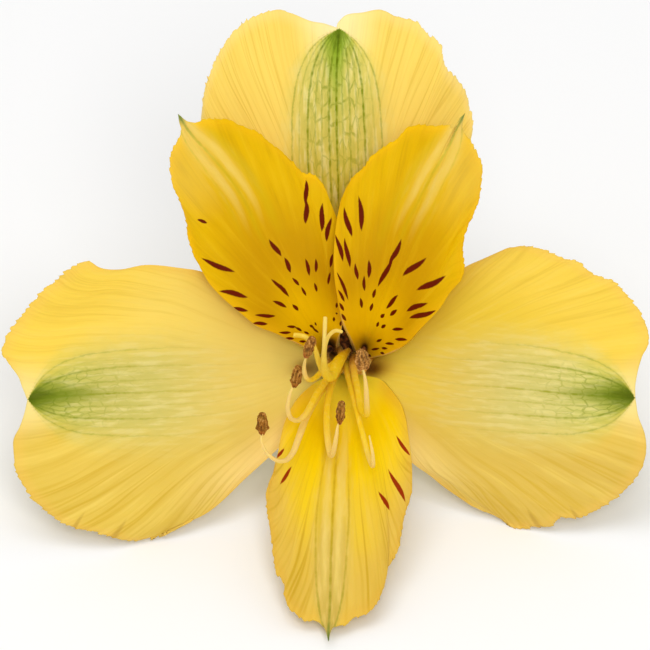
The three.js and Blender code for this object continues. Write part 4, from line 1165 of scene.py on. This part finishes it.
def style_piece(material):
    """The style and its three stigma branches, melted into one skin."""
    parts = [tube(STYLE_ROUTE, 60, 24, lambda f: 0.32 + 0.4 * float(smooth(f, 0.5, 0.84))
                  - 0.22 * float(smooth(f, 0.9, 1.0)))]
    for route, foot, girth in zip(STIGMAS, (0.54, 0.48, 0.45), (0.26, 0.25, 0.3)):
        parts.append(tube(route, 60, 20, lambda f: girth + (foot - girth) * float(smooth(f, 0.75, 0.1)),
                          lambda f: 1 - 0.25 * f))
    points, faces = [], []
    for part_points, part_faces, _ in parts:
        faces += [tuple(i + len(points) for i in face) for face in part_faces]
        points += on_table(part_points).tolist()
    mesh = bpy.data.meshes.new("style_parts")
    mesh.from_pydata((np.array(points) * MM).tolist(), [], faces)
    rough = add_object("style_parts", mesh)
    melt = rough.modifiers.new("melt", "REMESH")
    melt.mode = "VOXEL"
    melt.voxel_size = 0.08 * MM
    even = rough.modifiers.new("even", "SMOOTH")
    even.iterations = 10
    dressed = rough.evaluated_get(bpy.context.evaluated_depsgraph_get()).to_mesh()
    skin = np.array([v.co[:] for v in dressed.vertices]) / MM
    skin_faces = [tuple(p.vertices) for p in dressed.polygons]
    bpy.data.objects.remove(rough)
    flower = (skin - THROAT) @ np.stack([U, V, W], axis=1)
    share = np.clip(flower[:, 2] / 30 + 0.02 * flower[:, 1], 0, 1)
    add_piece("style", skin, skin_faces, material, dict(out=share, plan=flower))


filament_look, anther_look = filament_material(), anther_material()
for number, stamen in enumerate(STAMENS, 1):
    filament_piece(number, stamen, filament_look)
    if "anther" in stamen:
        anther_piece(number, stamen["anther"], anther_look)
style_piece(style_material())

# --- Ovary and pedicel ---

OVARY_LENGTH = 9.6
OVARY_RADIUS = 3.9
OVARY_RIB = 0.32
OVARY_SHAPE = numbers("0,0.88 0.03,0.97 0.08,1 0.25,1 0.45,0.9 0.65,0.7 0.82,0.48 0.93,0.36 1,0.33")
OVARY_TOP = (0.9, 0.7, 0.45, 0.2)       # girths of the rings that draw its top in towards the style
PEDICEL_RADIUS = 1.15
PEDICEL_RUN = 22
PEDICEL_FLAT = 0.12
PEDICEL_SEAT = 0.3      # how far its root reaches into the ovary's foot


def green_material():
    m = Shade("ovary_green", {
        "Subsurface Weight": 0.1, "Subsurface Scale": 0.001, "Roughness": 0.6, "Specular IOR Level": 0.08,
    })
    plan, out = m.plan(), m.field("out")
    colour = m.mix(m.step(m.noise(plan, 0.9, 4, 0.6), 0.3, 0.7), (120, 150, 52), (156, 180, 78))
    colour = m.mix(m.step(m.field("rib"), -0.2, 0.9, 0.0, 0.6), colour, (98, 122, 44))
    colour = m.mix(m.step(out, 0.16, 0.0), colour, (196, 196, 96))
    # Its top is the floor of the throat, mottled brown: painted shade under the upper tepals, painted light
    # below.
    mottled = m.step(m.noise(plan, 1.5, 3), 0.38, 0.66)
    shaded_floor = m.mix(mottled, (48, 18, 2), (160, 92, 40))
    lit_floor = m.mix(mottled, (214, 142, 30), (255, 224, 120))
    throat_floor = m.mix(m.step(m.up(), 0.6, -0.9), shaded_floor, lit_floor)
    colour = m.mix(m.step(out, 0.035, 0.005), colour, throat_floor)
    return m.finish(colour, m.noise(plan, 4.0, 3), 0.3, 0.0001)


def ovary_piece(material):
    rings, sides = 72, 120
    turn = 2 * math.pi * np.arange(sides) / sides
    ridge = np.cos(6 * turn + math.pi)
    stand = OVARY_RIB * np.abs(ridge) ** 0.7 * np.sign(ridge)
    points, share, rib = [], [], []
    for down in np.linspace(1.02, 0, rings):
        girth = float(knot_curve(OVARY_SHAPE, np.array(min(down, 1.0))))
        rise = float(smooth(1 - down, 0, 0.3)) * (0.3 + 0.7 * float(smooth(down, 0, 0.06)))
        radius = OVARY_RADIUS * girth + stand * rise
        w = np.full(sides, -down * OVARY_LENGTH)
        points.append(np.stack([radius * np.cos(turn), radius * np.sin(turn), w], axis=1))
        share.append(np.full(sides, down))
        rib.append(ridge)
    for inward in OVARY_TOP:
        ring = points[rings - 1].copy()
        ring[:, :2] *= inward
        ring[:, 2] = -0.05 * (1 - inward)
        points.append(ring)
        share.append(np.zeros(sides))
        rib.append(np.zeros(sides))
    flower = np.concatenate(points)
    add_piece("ovary", on_table(flower), ring_faces(rings + len(OVARY_TOP), sides), material,
              dict(out=np.concatenate(share), rib=np.concatenate(rib), plan=flower))


def pedicel_piece(material):
    """The pedicel leaves the ovary along the flower's axis, bends down flat and lies on the table."""
    rings, sides, bends = 110, 48, 5
    x, y, z = on_table([0, 0, PEDICEL_SEAT - OVARY_LENGTH])
    low = PEDICEL_RADIUS - PEDICEL_FLAT
    bend = (z - low) / (1 - math.cos(AXIS_RISE))
    route = []
    for i in range(bends + 1):
        slope = AXIS_RISE * (1 - i / bends)
        ahead = math.sin(AXIS_RISE) - math.sin(slope)
        route.append([x, y + bend * ahead, low + bend * (1 - math.cos(slope))])
    flat_from = route[-1][1]
    route.append([x + 0.3, flat_from + PEDICEL_RUN / 2, low])
    route.append([x + 1.2, flat_from + PEDICEL_RUN, low])
    points, faces, share = tube(
        route, rings, sides, lambda f: PEDICEL_RADIUS * (1.08 - 0.08 * float(smooth(f, 0, 0.4))) - 0.01)
    points[:, 2] = np.maximum(points[:, 2], 0)
    turn = np.tile(2 * math.pi * np.arange(sides) / sides, rings)
    add_piece("pedicel", points, faces, material,
              dict(out=np.full(len(share), 0.5), rib=np.cos(turn * 9), plan=points))


green = green_material()
ovary_piece(green)
pedicel_piece(green)

# --- Floor ---

FLOOR_HALF = 6          # m

corners = [(-1, -1), (1, -1), (1, 1), (-1, 1)]
floor_mesh = bpy.data.meshes.new("floor")
floor_mesh.from_pydata([(FLOOR_HALF * x, FLOOR_HALF * y, 0) for x, y in corners], [], [(0, 1, 2, 3)])
pale = Shade("floor_pale", {"Base Color": (0.94, 0.94, 0.94, 1), "Roughness": 0.9})
floor_mesh.materials.append(pale.material)
add_object("floor", floor_mesh)
